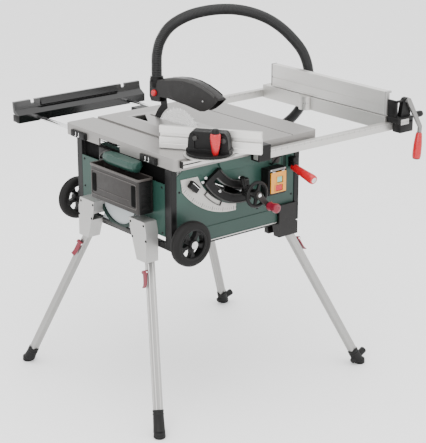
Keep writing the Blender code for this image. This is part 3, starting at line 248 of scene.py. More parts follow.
def moulded(name, colour, roughness=0.45, grain=900.0, spread=0.18, **fixed):
    """Injection moulded plastic: fine spark-eroded grain, slight mottle and rubbed spots."""
    made = Shader(name, colour, roughness, **fixed)
    mottle = made.noise(14.0, 4.0, 0.6)
    made.feed("Base Color", made.shade(mottle, 1 - spread, 1 + spread))
    rubbed = made.noise(45.0, 5.0, 0.7).squeeze(0.35, 0.75)
    made.feed("Roughness", roughness + 0.1 - rubbed * 0.16)
    return made.bump(made.noise(grain, 2.0) + made.noise(grain / 3, 2.0) * 0.5, 0.00025, 0.35)


def painted(name, colour, roughness=0.38, peel=260.0, spread=0.1, **fixed):
    """Powder coat: orange peel, faint dust and tone changes over the panel."""
    made = Shader(name, colour, roughness, **fixed)
    broad = made.noise(5.0, 3.0, 0.5)
    dust = made.noise(70.0, 6.0, 0.75).squeeze(0.55, 0.8)
    tone = made.shade(broad, 1 - spread, 1 + spread)
    pale = tuple(c * 1.5 + 0.008 for c in colour)
    made.feed("Base Color", made.mix(dust * 0.5, tone, pale))
    made.feed("Roughness", roughness + dust * 0.14 + broad * 0.06 - 0.03)
    made.feed("Coat Weight", 0.04)
    return made.bump(made.noise(peel, 2.0), 0.0004, 0.25)


def drawn_metal(name, colour, roughness=0.34, along=(1, 0, 0), metallic=0.9, lines=420.0):
    """Extruded or drawn metal: fine lines along one direction, with dull patches."""
    made = Shader(name, colour, roughness, metallic)
    scale = tuple(0.02 if a else 1.0 for a in along)
    run = made.moved(scale=scale)
    streak = made.noise(lines, 3.0, 0.6, run)
    patch = made.noise(9.0, 4.0, 0.6)
    made.feed("Base Color", made.shade(streak * 0.6 + patch * 0.4, 0.86, 1.12))
    made.feed("Roughness", roughness - 0.06 + streak * 0.1 + patch * 0.08)
    return made.bump(streak, 0.0003, 0.18)


def turned_metal(name, colour, roughness=0.28, metallic=1.0, speckle=300.0):
    """Steel from a lathe or a polished rod: small scratches in a smooth face."""
    made = Shader(name, colour, roughness, metallic)
    scratch = made.noise(speckle, 4.0, 0.7, made.moved(scale=(1, 0.2, 1), turn=(0.3, 0.5, 0)))
    patch = made.noise(30.0, 4.0, 0.6)
    made.feed("Base Color", made.shade(patch, 0.88, 1.08))
    made.feed("Roughness", roughness - 0.05 + patch * 0.12 + scratch * 0.05)
    return made.bump(scratch, 0.0002, 0.1)


def cast_metal(name, colour, roughness=0.5):
    """Sand-cast aluminium: grainy skin with shallow pits."""
    made = Shader(name, colour, roughness, 0.8)
    skin = made.noise(320.0, 4.0, 0.65)
    pits = made.noise(90.0, 2.0).squeeze(0.6, 0.72)
    made.feed("Base Color", made.shade(skin - pits * 0.3, 0.82, 1.12))
    made.feed("Roughness", roughness + skin * 0.12)
    return made.bump(skin - pits * 0.6, 0.0006, 0.5)


def ground_table(name, colour, roughness=0.36):
    """Ground cast table: long grinding lines along the cut and a few cross scratches."""
    made = Shader(name, colour, roughness, 0.62)
    lines = made.noise(520.0, 3.0, 0.7, made.moved(scale=(1, 0.012, 1)))
    wide = made.noise(60.0, 3.0, 0.6, made.moved(scale=(1, 0.03, 1)))
    nicks = made.noise(260.0, 2.0, 0.5, made.moved(scale=(1, 0.03, 1), turn=(0, 0, 0.9)))
    cross = nicks.squeeze(0.66, 0.72)
    tone = made.shade(lines * 0.5 + wide * 0.5, 0.9, 1.08)
    made.feed("Base Color", made.mix(cross * 0.25, tone, tuple(c * 1.25 for c in colour)))
    made.feed("Roughness", roughness - 0.04 + lines * 0.1 + wide * 0.05)
    return made.bump(lines - cross * 0.4, 0.0002, 0.22)


def rubber(name, colour, roughness=0.72):
    made = Shader(name, colour, roughness, Specular_IOR_Level=0.2)
    dust = made.noise(35.0, 6.0, 0.75).squeeze(0.45, 0.8)
    made.feed("Base Color", made.mix(dust * 0.35, colour, tuple(c * 1.6 + 0.008 for c in colour)))
    made.feed("Roughness", roughness - 0.08 + dust * 0.2)
    return made.bump(made.noise(500.0, 2.0), 0.0003, 0.4)


LOOKS = {}


def looks():
    green, dark_green = (0.0125, 0.04, 0.031), (0.005, 0.017, 0.013)
    brown = (0.015, 0.0125, 0.0115)
    pale = (0.56, 0.55, 0.53)
    LOOKS.update({
        "table": ground_table("ground_table", (0.255, 0.245, 0.235)),
        "insert": ground_table("ground_insert", (0.3, 0.29, 0.28), 0.32),
        "rail": drawn_metal("drawn_rail", pale, along=(1, 0, 0)),
        "fence": drawn_metal("drawn_fence", (0.66, 0.65, 0.63), 0.38, along=(0, 1, 0)),
        "leg": drawn_metal("drawn_leg", (0.34, 0.335, 0.325), 0.34, along=(0, 0, 1)),
        "plate": drawn_metal("sheet_plate", (0.4, 0.395, 0.385), 0.42, along=(0, 0, 1),
                             metallic=0.7),
        "green": painted("green_paint", green, Specular_IOR_Level=0.3),
        "dark_green": painted("dark_green_paint", dark_green, 0.45, Specular_IOR_Level=0.2),
        "black_paint": painted("black_paint", (0.0035, 0.0035, 0.0036), 0.34,
                               Specular_IOR_Level=0.2),
        "black": moulded("black_plastic", (0.0042, 0.004, 0.004), 0.4, Specular_IOR_Level=0.2),
        "brown": moulded("brown_plastic", brown, 0.38, 700.0, Specular_IOR_Level=0.3),
        "dark_brown": moulded("dark_brown_plastic", (0.0055, 0.0046, 0.0043), 0.3, 800.0,
                              Specular_IOR_Level=0.25),
        "red": moulded("red_plastic", (0.42, 0.006, 0.012), 0.24, 500.0, 0.08),
        "crimson": moulded("crimson_plastic", (0.15, 0.004, 0.016), 0.28, 500.0, 0.08),
        "yellow": moulded("yellow_plastic", (0.6, 0.25, 0.025), 0.3, 500.0, 0.08),
        "mint": moulded("mint_plastic", (0.2, 0.42, 0.3), 0.3, 500.0, 0.08),
        "steel": turned_metal("turned_steel", (0.56, 0.56, 0.56)),
        "chrome": turned_metal("polished_chrome", (0.8, 0.8, 0.8), 0.1),
        "cast": cast_metal("cast_aluminium", (0.4, 0.4, 0.39)),
        "rubber": rubber("tyre_rubber", (0.005, 0.0046, 0.0044)),
        "foot": rubber("foot_rubber", (0.007, 0.0068, 0.0068), 0.6),
    })


def scale_marks(made, plane, centre, step, depth, tall, ink=(0.03, 0.03, 0.03)):
    """Fine ruled marks: every step a short one, every fifth longer; along a line or an arc."""
    spot = made.moved(centre)
    a, b = made.axis(plane[0], spot), made.axis(plane[1], spot)
    if step < 0:
        turn = made.node("ShaderNodeMath", [b, a], operation="ARCTAN2")
        run, across = turn / math.radians(-step), (a * a + b * b).math("SQRT")
    else:
        run, across = a / step, b
    near = (run.part() - 0.5).size() > 0.4
    fifth = ((run / 5).part() - 0.5).size() > 0.475
    reach = (across - depth).size()
    mark = near * (reach < tall) * 0.75 + fifth * (reach < tall * 1.8)
    return mark.math("MINIMUM", 1.0), ink


def marked_metal(name, colour, plane, centre, step, depth, tall, along=(1, 0, 0), metallic=0.85):
    made = drawn_metal(name, colour, 0.38, along, metallic)
    mark, ink = scale_marks(made, plane, centre, step, depth, tall)
    tone = made.shade(made.noise(9.0, 4.0, 0.6), 0.92, 1.08)
    made.feed("Base Color", made.mix(mark, tone, ink))
    made.feed("Metallic", metallic - mark * metallic * 0.9)
    return made


def more_looks():
    corner = tuple(CORNER)
    LOOKS["scale"] = marked_metal(
        "scale_plate", (0.4, 0.39, 0.37), "XZ",
        (corner[0] + 0.251, 0, 0.9), -2.0, 0.257, 0.0035, metallic=0.25)
    LOOKS["ruled_rail"] = marked_metal(
        "ruled_rail", (0.52, 0.51, 0.49), "XZ", (corner[0], 0, 0.8245), 0.005, 0.0, 0.0022)
    LOOKS["protractor"] = marked_metal(
        "protractor", (0.36, 0.355, 0.34), "XY",
        (corner[0] + MITRE.x, corner[1] + MITRE.y, 0), -3.0, 0.074, 0.004, metallic=0.4)
    blade = Shader("blade_steel", (0.86, 0.86, 0.85), 0.24, 0.55)
    spot = blade.moved((corner[0], corner[1] + ARBOR.y, ARBOR.z))
    y, z = blade.axis("Y", spot), blade.axis("Z", spot)
    ring = (y * y + z * z).math("SQRT")
    rings = blade.node("ShaderNodeTexNoise", {"Vector": blade.node(
        "ShaderNodeCombineXYZ", [ring * 1.0, 0.0, 0.0]), "Scale": 900.0, "Detail": 3.0})
    sweep = blade.noise(20.0, 3.0)
    blade.feed("Base Color", blade.shade(rings * 0.6 + sweep * 0.4, 0.86, 1.15))
    blade.feed("Roughness", 0.16 + rings * 0.14 + sweep * 0.08)
    blade.bump(rings, 0.0002, 0.25)
    LOOKS["blade"] = blade
    front = painted("front_green_paint_shaded_low", (0.0165, 0.05, 0.0385), Specular_IOR_Level=0.35)
    # painted shade and light: the front green is darkened towards the bottom and lightened towards
    # the top by height, mixed with a random tone
    height = front.axis("Z").squeeze(0.6, 0.76)
    tone = front.shade(front.noise(6.0, 3.0) * 0.35 + height * 0.65, 0.5, 1.25)
    front.feed("Base Color", tone)
    LOOKS["front_green"] = front
    # painted highlight: a paler copy of the brown plastic, for the lip and ribs of the storage box
    # where light catches them
    LOOKS["brown_lit"] = moulded("brown_plastic_painted_highlight", (0.045, 0.039, 0.036), 0.36, 700.0)
    LOOKS["pale"] = painted("pale_plate", (0.3, 0.325, 0.335), 0.4)
    LOOKS["smoke"] = moulded("smoke_plastic", (0.022, 0.021, 0.02), 0.3, 700.0,
        Specular_IOR_Level=0.35)
    LOOKS["grey"] = cast_metal("grey_lever", (0.24, 0.235, 0.23), 0.42)
    # painted shade: a near-black, almost unreflective finish put over holes, slots and gaps to
    # stand for the shade inside them
    LOOKS["dark"] = moulded("painted_shade_dark", (0.0015, 0.0015, 0.0015), 0.6, 600.0,
        Specular_IOR_Level=0.05)
    LOOKS["gloss"] = painted("gloss_black_paint", (0.003, 0.003, 0.0031), 0.16,
        Specular_IOR_Level=0.5)


def look(name):
    return LOOKS[name].material


def finish(name, bm, finish_name, body="housing", replaces=(), sharp=32.0, bevel=0.0):
    """Turn a bmesh in the saw's coordinates into a piece that rides on a body."""
    bmesh.ops.remove_doubles(bm, verts=bm.verts, dist=0.00001)
    bmesh.ops.recalc_face_normals(bm, faces=bm.faces)
    bmesh.ops.translate(bm, vec=CORNER, verts=bm.verts)
    mesh = bpy.data.meshes.new(name)
    bm.to_mesh(mesh)
    bm.free()
    mesh.shade_smooth()
    mesh.set_sharp_from_angle(angle=math.radians(sharp))
    made = bpy.data.objects.new(name, mesh)
    bpy.context.scene.collection.objects.link(made)
    mesh.materials.append(look(finish_name))
    if bevel:
        edge = made.modifiers.new("edge", "BEVEL")
        edge.width = bevel
        edge.segments = 2
        edge.limit_method = "ANGLE"
        edge.angle_limit = math.radians(40)
        edge.harden_normals = True
    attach(made, body)
    if replaces:
        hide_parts(*replaces)
    return made


def new():
    return bmesh.new()


def add_block(bm, low, high, bevel=0.0, segments=2):
    """Add a box between two corners, with rounded edges."""
    low, high = Vector(low), Vector(high)
    fresh = bmesh.ops.create_cube(bm, size=1.0)["verts"]
    bmesh.ops.scale(bm, vec=high - low, verts=fresh)
    bmesh.ops.translate(bm, vec=(low + high) / 2, verts=fresh)
    if bevel:
        edges = list({e for v in fresh for e in v.link_edges})
        bmesh.ops.bevel(bm, geom=edges, offset=bevel, segments=segments, profile=0.5,
            affect="EDGES", material=-1)
    return bm


def run_matrix(start, end):
    run = Vector(end) - Vector(start)
    return Matrix.Translation(Vector(start)) @ run.to_track_quat("Z", "Y").to_matrix().to_4x4()


def linked(verts):
    """All the vertices that are joined to these."""
    found, open_ones = set(verts), list(verts)
    while open_ones:
        for edge in open_ones.pop().link_edges:
            for vert in edge.verts:
                if vert not in found:
                    found.add(vert)
                    open_ones.append(vert)
    return list(found)


def pivoted(point, angle, axis):
    """Turn by an angle about an axis through a point's place."""
    return Matrix.Translation(Vector(point)) @ Matrix.Rotation(angle, 4, axis)


def add_lathe(bm, profile, start, end, steps=40):
    """Add a turned shape: (radius, distance) pairs, from start towards end."""
    places = [(0.0, profile[0][1])] + list(profile) + [(0.0, profile[-1][1])]
    verts = [bm.verts.new((r, 0.0, z)) for r, z in places]
    edges = [bm.edges.new(pair) for pair in zip(verts, verts[1:])]
    bmesh.ops.spin(bm, geom=verts + edges, cent=(0, 0, 0), axis=(0, 0, 1), angle=2 * math.pi,
        steps=steps, use_merge=True, use_duplicate=False)
    bmesh.ops.transform(bm, matrix=run_matrix(start, end), verts=linked(verts))
    return bm


def add_rod(bm, start, end, radius, end_radius=None, round_off=0.0, steps=28):
    """Add a bar or cone with eased ends."""
    length = (Vector(end) - Vector(start)).length
    last = radius if end_radius is None else end_radius
    ease = round_off or min(radius, last) * 0.15
    profile = [(radius - ease, 0.0), (radius - ease * 0.3, ease * 0.3), (radius, ease),
        (last, length - ease), (last - ease * 0.3, length - ease * 0.3), (last - ease, length)]
    return add_lathe(bm, profile, start, end, steps)


def arc(centre, radius, first, last, count):
    angles = [math.radians(first + (last - first) * i / (count - 1)) for i in range(count)]
    return [(centre[0] + radius * math.cos(a), centre[1] + radius * math.sin(a)) for a in angles]


PLANES = {"XZ": (Vector((1, 0, 0)), Vector((0, 0, 1)), Vector((0, 1, 0))),
    "YZ": (Vector((0, 1, 0)), Vector((0, 0, 1)), Vector((1, 0, 0))),
    "XY": (Vector((1, 0, 0)), Vector((0, 1, 0)), Vector((0, 0, 1)))}


def add_plate(bm, outlines, plane, low, high, turn=None):
    """Add a flat shape; the first outline is its edge and the others are holes."""
    u, v, n = PLANES[plane]
    edges = []
    for outline in outlines:
        verts = [bm.verts.new(u * a + v * b + n * low) for a, b in outline]
        edges += [bm.edges.new((verts[i - 1], verts[i])) for i in range(len(verts))]
    if len(outlines) == 1:
        faces = bmesh.ops.contextual_create(bm, geom=edges)["faces"]
    else:
        filled = bmesh.ops.triangle_fill(bm, edges=edges, use_beauty=True)["geom"]
        faces = [g for g in filled if isinstance(g, bmesh.types.BMFace)]
    made = bmesh.ops.extrude_face_region(bm, geom=faces)["geom"]
    raised = [g for g in made if isinstance(g, bmesh.types.BMVert)]
    bmesh.ops.translate(bm, vec=n * (high - low), verts=raised)
    if turn:
        lower = list({vert for face in faces if face.is_valid for vert in face.verts})
        bmesh.ops.transform(bm, matrix=turn, verts=lower + raised)
    return bm


def smooth_route(points, step):
    """Evenly spaced points on a smooth curve through the given ones."""
    fine = []
    for i in range(len(points) - 1):
        p0, p1 = Vector(points[max(i - 1, 0)]), Vector(points[i])
        p2, p3 = Vector(points[i + 1]), Vector(points[min(i + 2, len(points) - 1)])
        for k in range(24):
            t = k / 24
            fine.append(0.5 * (2 * p1 + (p2 - p0) * t + (2 * p0 - 5 * p1 + 4 * p2 - p3) * t * t
                + (3 * p1 - p0 - 3 * p2 + p3) * t ** 3))
    fine.append(Vector(points[-1]))
    walked = [0.0]
    for a, b in zip(fine, fine[1:]):
        walked.append(walked[-1] + (b - a).length)
    count = max(2, round(walked[-1] / step) + 1)
    out, j = [], 0
    for i in range(count):
        want = walked[-1] * i / (count - 1)
        while j < len(fine) - 2 and walked[j + 1] < want:
            j += 1
        share = (want - walked[j]) / max(walked[j + 1] - walked[j], 1e-9)
        out.append(fine[j].lerp(fine[j + 1], min(max(share, 0.0), 1.0)))
    return out, walked[-1]


def add_tube(bm, points, radii, sides=20):
    """Add a tube along points, with a radius for each; its frame never twists."""
    heading = (points[1] - points[0]).normalized()
    side = heading.orthogonal().normalized()
    ring = bmesh.ops.create_circle(bm, cap_ends=False, segments=sides, radius=1.0)["verts"]
    flat = [v.co.copy() for v in ring]
    edges = list({e for v in ring for e in v.link_edges})
    loops = []
    for i, point in enumerate(points):
        ahead = points[min(i + 1, len(points) - 1)] - points[max(i - 1, 0)]
        ahead.normalize()
        side = (side - ahead * side.dot(ahead)).normalized()
        turn = Matrix((side, ahead.cross(side), ahead)).transposed()
        if i:
            made = bmesh.ops.extrude_edge_only(bm, edges=edges)["geom"]
            ring = [g for g in made if isinstance(g, bmesh.types.BMVert)]
            edges = [g for g in made if isinstance(g, bmesh.types.BMEdge)]
        order = loops[-1] if loops else None
        if order:
            ring = [next(e.other_vert(v) for e in v.link_edges if e.other_vert(v) in set(ring))
                for v in order]
        for vert, spot in zip(ring, flat):
            vert.co = point + turn @ (spot * radii[i])
        loops.append(ring)
    for ends in (loops[0], loops[-1]):
        bmesh.ops.contextual_create(bm, geom=list({e for v in ends for e in v.link_edges
            if e.other_vert(v) in ends}))
    return bm


def rounded(x0, y0, x1, y1, radius, steps=5):
    """A rectangle with round corners."""
    r = radius
    return (arc((x1 - r, y1 - r), r, 0, 90, steps) + arc((x0 + r, y1 - r), r, 90, 180,
        steps) + arc((x0 + r, y0 + r), r, 180, 270, steps) + arc((x1 - r, y0 + r), r, 270, 360,
        steps))


def add_ring(bm, section, start, end, steps=48):
    """Add a ring turned from a closed section of (radius, distance) pairs."""
    verts = [bm.verts.new((r, 0.0, z)) for r, z in section]
    edges = [bm.edges.new((verts[i - 1], verts[i])) for i in range(len(verts))]
    bmesh.ops.spin(bm, geom=verts + edges, cent=(0, 0, 0), axis=(0, 0, 1), angle=2 * math.pi,
        steps=steps, use_merge=True, use_duplicate=False)
    bmesh.ops.transform(bm, matrix=run_matrix(start, end), verts=linked(verts))
    return bm


def band(centre, inner, outer, first, last, count=18):
    """The outline of a curved strip between two radii."""
    return arc(centre, outer, first, last, count) + arc(centre, inner, last, first, count)


def add_wire(bm, points, radius, sides=12):
    """Add a bent bar of one thickness."""
    line, _ = smooth_route(points, radius * 1.2)
    return add_tube(bm, line, [radius] * len(line), sides)


def screw(bm, place, out, radius=0.0042, rise=0.0022):
    """Add a pan-head screw with a sunk socket."""
    place, out = Vector(place), Vector(out)
    add_lathe(bm, [(radius, 0.0), (radius, rise * 0.4), (radius * 0.8, rise),
        (radius * 0.42, rise), (radius * 0.36, rise * 0.35)], place - out * 0.0003, place + out,
        16)


# ------------------------------------------------------------ housing
def front_trim():
    """Raised mouldings, the bottom edge and the small fittings on the front panel."""
    bm = add_plate(new(), [[(0.19, 0.794), (0.204, 0.772), (0.332, 0.772), (0.332, 0.8072),
        (0.19, 0.8072)]], "XZ", 0.0195, 0.0247)
    finish("front_panel_boss", bm, "front_green", bevel=0.0018)
    bm = add_plate(new(), [[(0.115, 0.556), (0.437, 0.556), (0.437, 0.596), (0.43, 0.602),
        (0.14, 0.602), (0.12, 0.585)]], "XZ", 0.0226, 0.0248)
    finish("front_panel_skirt", bm, "front_green", bevel=0.0012)
    bm = add_block(new(), (0.0232, 0.0205, 0.5532), (0.437, 0.0249, 0.5562), 0.0008)
    finish("front_bottom_trim", bm, "rail")
    bm = add_block(new(), (0.0232, 0.0215, 0.5475), (0.438, 0.03, 0.553), 0.001)
    finish("front_bottom_bead", bm, "black")
    bm = new()
    for x, z in ((0.0335, 0.57), (0.0335, 0.735), (0.5, 0.64), (0.5, 0.795), (0.352, 0.795),
            (0.352, 0.62)):
        screw(bm, (x, 0.0248, z), (0, -1, 0), 0.0036, 0.0018)
    finish("front_panel_screws", bm, "black_paint")
    bm = add_wire(new(), [(0.406, 0.024, 0.7605), (0.405, 0.014, 0.7615), (0.409, 0.0085, 0.77),
        (0.419, 0.007, 0.7795), (0.433, 0.0085, 0.7845), (0.446, 0.0125, 0.7835),
        (0.45, 0.024, 0.7815)], 0.0034)
    finish("cable_hook_front", bm, "black")
    bm = add_plate(new(), [rounded(0.414, 0.758, 0.446, 0.781, 0.006)], "XZ", 0.0238, 0.0248)
    finish("cable_hook_plate", bm, "smoke")
    bm = add_plate(new(), [rounded(0.457, 0.733, 0.4765, 0.781, 0.004),
        rounded(0.4595, 0.7355, 0.474, 0.7785, 0.003)], "XZ", 0.0226, 0.0248)
    finish("front_recess_rim", bm, "front_green")
    # painted shade: the recess floor takes the darker green to stand for the shade inside the
    # recess
    bm = add_plate(new(), [rounded(0.4597, 0.7357, 0.4738, 0.7783, 0.003)], "XZ", 0.0244, 0.0248)
    finish("front_recess_floor", bm, "dark_green")
    # painted shade: a near-black plate stands for the shade inside the keyhole
    bm = add_plate(new(), [rounded(0.485, 0.736, 0.4935, 0.769, 0.004)], "XZ", 0.0243, 0.0248)
    finish("front_keyhole_shade", bm, "dark")


def arc_guide_trim():
    """Raised rims, screws and end block of the curved guide, and the scale's window."""
    pivot = (PIVOT.x, PIVOT.z)
    bm = add_plate(new(), [band(pivot, 0.187, 0.1912, -81.5, -147.5)], "XZ", 0.0078, 0.0107)
    add_plate(bm, [band(pivot, 0.1168, 0.1205, -82, -147)], "XZ", 0.0078, 0.0107)
    add_plate(bm, [band(pivot, 0.1616, 0.164, -86, -140.5)], "XZ", 0.0088, 0.0107)
    add_plate(bm, [band(pivot, 0.14, 0.1424, -86, -140.5)], "XZ", 0.0088, 0.0107)
    finish("arc_guide_rims", bm, "smoke", bevel=0.0007)
    bm = new()
    for x, z in ((0.127, 0.768), (0.115, 0.756), (0.184, 0.714), (0.266, 0.743)):
        screw(bm, (x, 0.0107, z), (0, -1, 0), 0.0052, 0.0026)
    finish("arc_guide_screws", bm, "steel")
    turn = pivoted((0.084, 0, 0.747), math.radians(43), "Y")
    bm = add_plate(new(), [rounded(-0.019, -0.013, 0.019, 0.011, 0.003)], "XZ", 0.007, 0.0226,
        turn)
    finish("arc_guide_stop", bm, "black", bevel=0.0012)
    bm = add_plate(new(), [rounded(-0.0185, 0.0035, 0.0185, 0.0052, 0.0004)], "XZ", 0.0062, 0.0069,
        turn)
    finish("arc_guide_stop_line", bm, "chrome")
    rim = band(pivot, 0.1928, 0.2105, -138, -116)
    bm = add_plate(new(), [rim, band(pivot, 0.195, 0.208, -137.2, -116.8)], "XZ", 0.0185, 0.0226)
    finish("scale_window", bm, "smoke")


def switch_trim():
    """Cover over the switch, its hinge and the rims of its two buttons."""
    bm = add_block(new(), (0.3715, -0.0165, 0.747), (0.4385, -0.0141, 0.7538), 0.0008)
    add_block(bm, (0.382, -0.0175, 0.7485), (0.428, -0.0163, 0.7525), 0.0004)
    finish("switch_cover", bm, "grey")
    bm = new()
    for x in (0.376, 0.434):
        screw(bm, (x, -0.0175, 0.7505), (0, -1, 0), 0.0018, 0.0008)
    finish("switch_cover_screws", bm, "chrome")
    bm = new()
    for low, high in ((0.38, 0.392), (0.42, 0.432)):
        add_rod(bm, (low, -0.0165, 0.7438), (high, -0.0165, 0.7438), 0.0017, steps=14)
    finish("switch_hinge", bm, "steel", "flap")
    bm = add_plate(new(), [rounded(0.3955, 0.7033, 0.4265, 0.7298, 0.004),
        rounded(0.3982, 0.7057, 0.4238, 0.7273, 0.002)], "XZ", -0.02, -0.0186)
    add_plate(bm, [rounded(0.3885, 0.6762, 0.4255, 0.7027, 0.004),
        rounded(0.3912, 0.6787, 0.4228, 0.7003, 0.002)], "XZ", -0.02, -0.0186)
    finish("switch_button_rims", bm, "yellow", "flap")


def side_trim():
    """Lower side cover with its round rib, the bottom bar, the hook and the table clips."""
    bm = add_plate(new(), [[(0.169, 0.5715), (0.386, 0.5715), (0.3745, 0.602), (0.374, 0.6552),
        (0.182, 0.6552), (0.182, 0.634), (0.179, 0.602)]], "YZ", -0.004, -0.0006)
    finish("side_cover", bm, "pale", bevel=0.0008)
    bm = add_plate(new(), [band((0.293, 0.675), 0.1, 0.112, -157, -23, 22)], "YZ", -0.0105,
        -0.0041)
    finish("side_cover_rib", bm, "dark_green", bevel=0.001)
    bm = add_block(new(), (-0.011, 0.1865, 0.5575), (-0.0005, 0.382, 0.5712), 0.0015)
    finish("side_bottom_bar", bm, "smoke")
    bm = add_wire(new(), [(-0.0005, 0.343, 0.8065), (-0.014, 0.346, 0.806),
        (-0.024, 0.353, 0.7995), (-0.0265, 0.361, 0.79), (-0.02, 0.368, 0.7815),
        (-0.0005, 0.371, 0.779)], 0.0034)
    finish("cable_hook_side", bm, "smoke")
    bm = add_block(new(), (-0.007, 0.333, 0.764), (-0.0006, 0.398, 0.8095), 0.002)
    finish("cable_hook_base", bm, "black")
    # painted shade: a near-black sheet behind the top of the left panel, standing in for the shade
    # in the gap above the panel
    bm = add_block(new(), (0.01, 0.066, 0.74), (0.0115, 0.498, 0.812), 0.0004)
    finish("gap_shade_sheet", bm, "dark")
    for number, y in enumerate((0.088, 0.473)):
        bm = add_block(new(), (-0.0075, y, 0.813), (-0.0003, y + 0.086, 0.8365), 0.0022)
        add_block(bm, (-0.0105, y + 0.004, 0.8155), (-0.007, y + 0.026, 0.834), 0.0015)
        add_block(bm, (-0.0105, y + 0.06, 0.8155), (-0.007, y + 0.082, 0.834), 0.0015)
        finish(f"table_clip_{number}", bm, "black")
        bm = new()
        for offset in (0.034, 0.052):
            add_block(bm, (-0.0098, y + offset, 0.8165), (-0.0074, y + offset + 0.004, 0.833),
                0.0008)
            add_block(bm, (-0.0098, y + offset, 0.8165), (-0.0074, y + offset + 0.011, 0.82),
                0.0008)
        finish(f"table_clip_pins_{number}", bm, "chrome")
    bm = new()
    for y, z in ((0.068, 0.6), (0.068, 0.748), (0.492, 0.748), (0.492, 0.655)):
        screw(bm, (-0.0003, y, z), (-1, 0, 0), 0.0036, 0.0018)
    finish("left_panel_screws", bm, "black_paint")


def louvres():
    """Cooling louvres and screws of the right and rear panels."""
    for row, y in enumerate((0.11, 0.29)):
        bm = new()
        for step in range(8):
            z = 0.64 + step * 0.014
            add_plate(bm, [[(0.5318, z), (0.5352, z), (0.5318, z + 0.0075)]], "XZ", y, y + 0.12)
        finish(f"right_louvres_{row}", bm, "green")
    bm = new()
    for step in range(7):
        z = 0.64 + step * 0.014
        add_plate(bm, [[(0.5348, z), (0.5382, z), (0.5348, z + 0.0075)]], "YZ", 0.12, 0.26)
    finish("rear_louvres", bm, "green")
    bm = new()
    for y, z in ((0.07, 0.585), (0.07, 0.795), (0.49, 0.585), (0.49, 0.795)):
        screw(bm, (0.5321, y, z), (1, 0, 0), 0.0036, 0.0018)
    for x, z in ((0.04, 0.76), (0.04, 0.655), (0.495, 0.76), (0.495, 0.64)):
        screw(bm, (x, 0.5351, z), (0, 1, 0), 0.0036, 0.0018)
    for step in range(3):
        angle = math.radians(30 + 120 * step)
        screw(bm, (0.36 + 0.0268 * math.cos(angle), 0.5391, 0.655 + 0.0268 * math.sin(angle)),
            (0, 1, 0), 0.0026, 0.0016)
    finish("outer_panel_screws", bm, "black_paint")


def table_screws():
    """Sunk screws of the table insert and the bolts under the rails."""
    bm = new()
    for x, y in ((0.214, 0.099), (0.336, 0.099), (0.336, 0.531), (0.214, 0.31), (0.336, 0.31)):
        add_lathe(bm, [(0.0044, 0.0), (0.0044, 0.0004), (0.0036, 0.0006), (0.0018, 0.0006),
            (0.0016, 0.0002)], (x, y, TOP - 0.0001), (x, y, 2), 18)
    finish("insert_screws", bm, "steel")
    bm = new()
    for x in (0.045, 0.15, 0.265):
        screw(bm, (x, -0.0125, 0.828), (0, -1, 0), 0.003, 0.0012)
    finish("front_rail_bolts", bm, "steel")
    bm = add_block(new(), (0.019, -0.0131, 0.8315), (0.299, -0.0124, 0.8352), 0.0003)
    add_block(bm, (0.0165, -0.0135, 0.8225), (0.0205, -0.0005, 0.844), 0.001)
    finish("front_rail_groove", bm, "black")


def storage_box():
    """Open box on the left side: walls, lip, ribs, its dark end and the slot in its face."""
    x0, x1, y0, y1 = -0.0595, -0.0004, 0.1105, 0.3745
    low, high = 0.6575, 0.77
    outer = rounded(x0, y0, x1, y1, 0.009)
    inner = rounded(x0 + 0.004, y0 + 0.004, x1 - 0.004, y1 - 0.004, 0.006)
    bm = add_plate(new(), [outer, inner], "XY", low, high)
    add_plate(bm, [rounded(x0 + 0.002, y0 + 0.002, x1 - 0.002, y1 - 0.002, 0.007)], "XY", low,
        low + 0.005)
    finish("storage_walls", bm, "brown", replaces=("storage_box",), bevel=0.0012)
    # the lip takes the paler brown as a painted highlight
    bm = add_plate(new(), [rounded(x0 - 0.002, y0 - 0.0015, x1, y1 + 0.002, 0.01),
        rounded(x0 + 0.0038, y0 + 0.0038, x1 - 0.0038, y1 - 0.0038, 0.006)], "XY", high - 0.006,
        high + 0.0018)
    finish("storage_lip", bm, "brown_lit", bevel=0.0016)
    # the ribs take the paler brown as a painted highlight
    bm = new()
    add_plate(bm, [rounded(0.121, 0.6705, 0.366, 0.7535, 0.008), rounded(0.1235, 0.673, 0.3635,
        0.751, 0.006)], "YZ", x0 - 0.0012, x0)
    add_block(bm, (x0 - 0.0012, 0.16, 0.6935), (x0, 0.33, 0.695), 0.0004)
    finish("storage_ridges", bm, "brown_lit")
    # painted shade: near-black plates on the box's end face stand for the shade inside its slots
    bm = add_plate(new(), [rounded(0.124, 0.679, 0.148, 0.747, 0.0035)], "YZ", x0 - 0.0016,
        x0 + 0.0004)
    add_plate(bm, [rounded(0.34, 0.682, 0.359, 0.743, 0.006)], "YZ", x0 - 0.0014, x0 + 0.0004)
    finish("storage_slot_shade", bm, "dark", bevel=0.0005)
    bm = add_block(new(), (x0 + 0.001, 0.107, low + 0.001), (-0.0125, 0.111, high - 0.0075),
        0.0012)
    for step in range(5):
        z = 0.672 + step * 0.017
        add_block(bm, (-0.048, 0.1058, z), (-0.02, 0.1075, z + 0.0075), 0.0006)
    finish("storage_end", bm, "black")


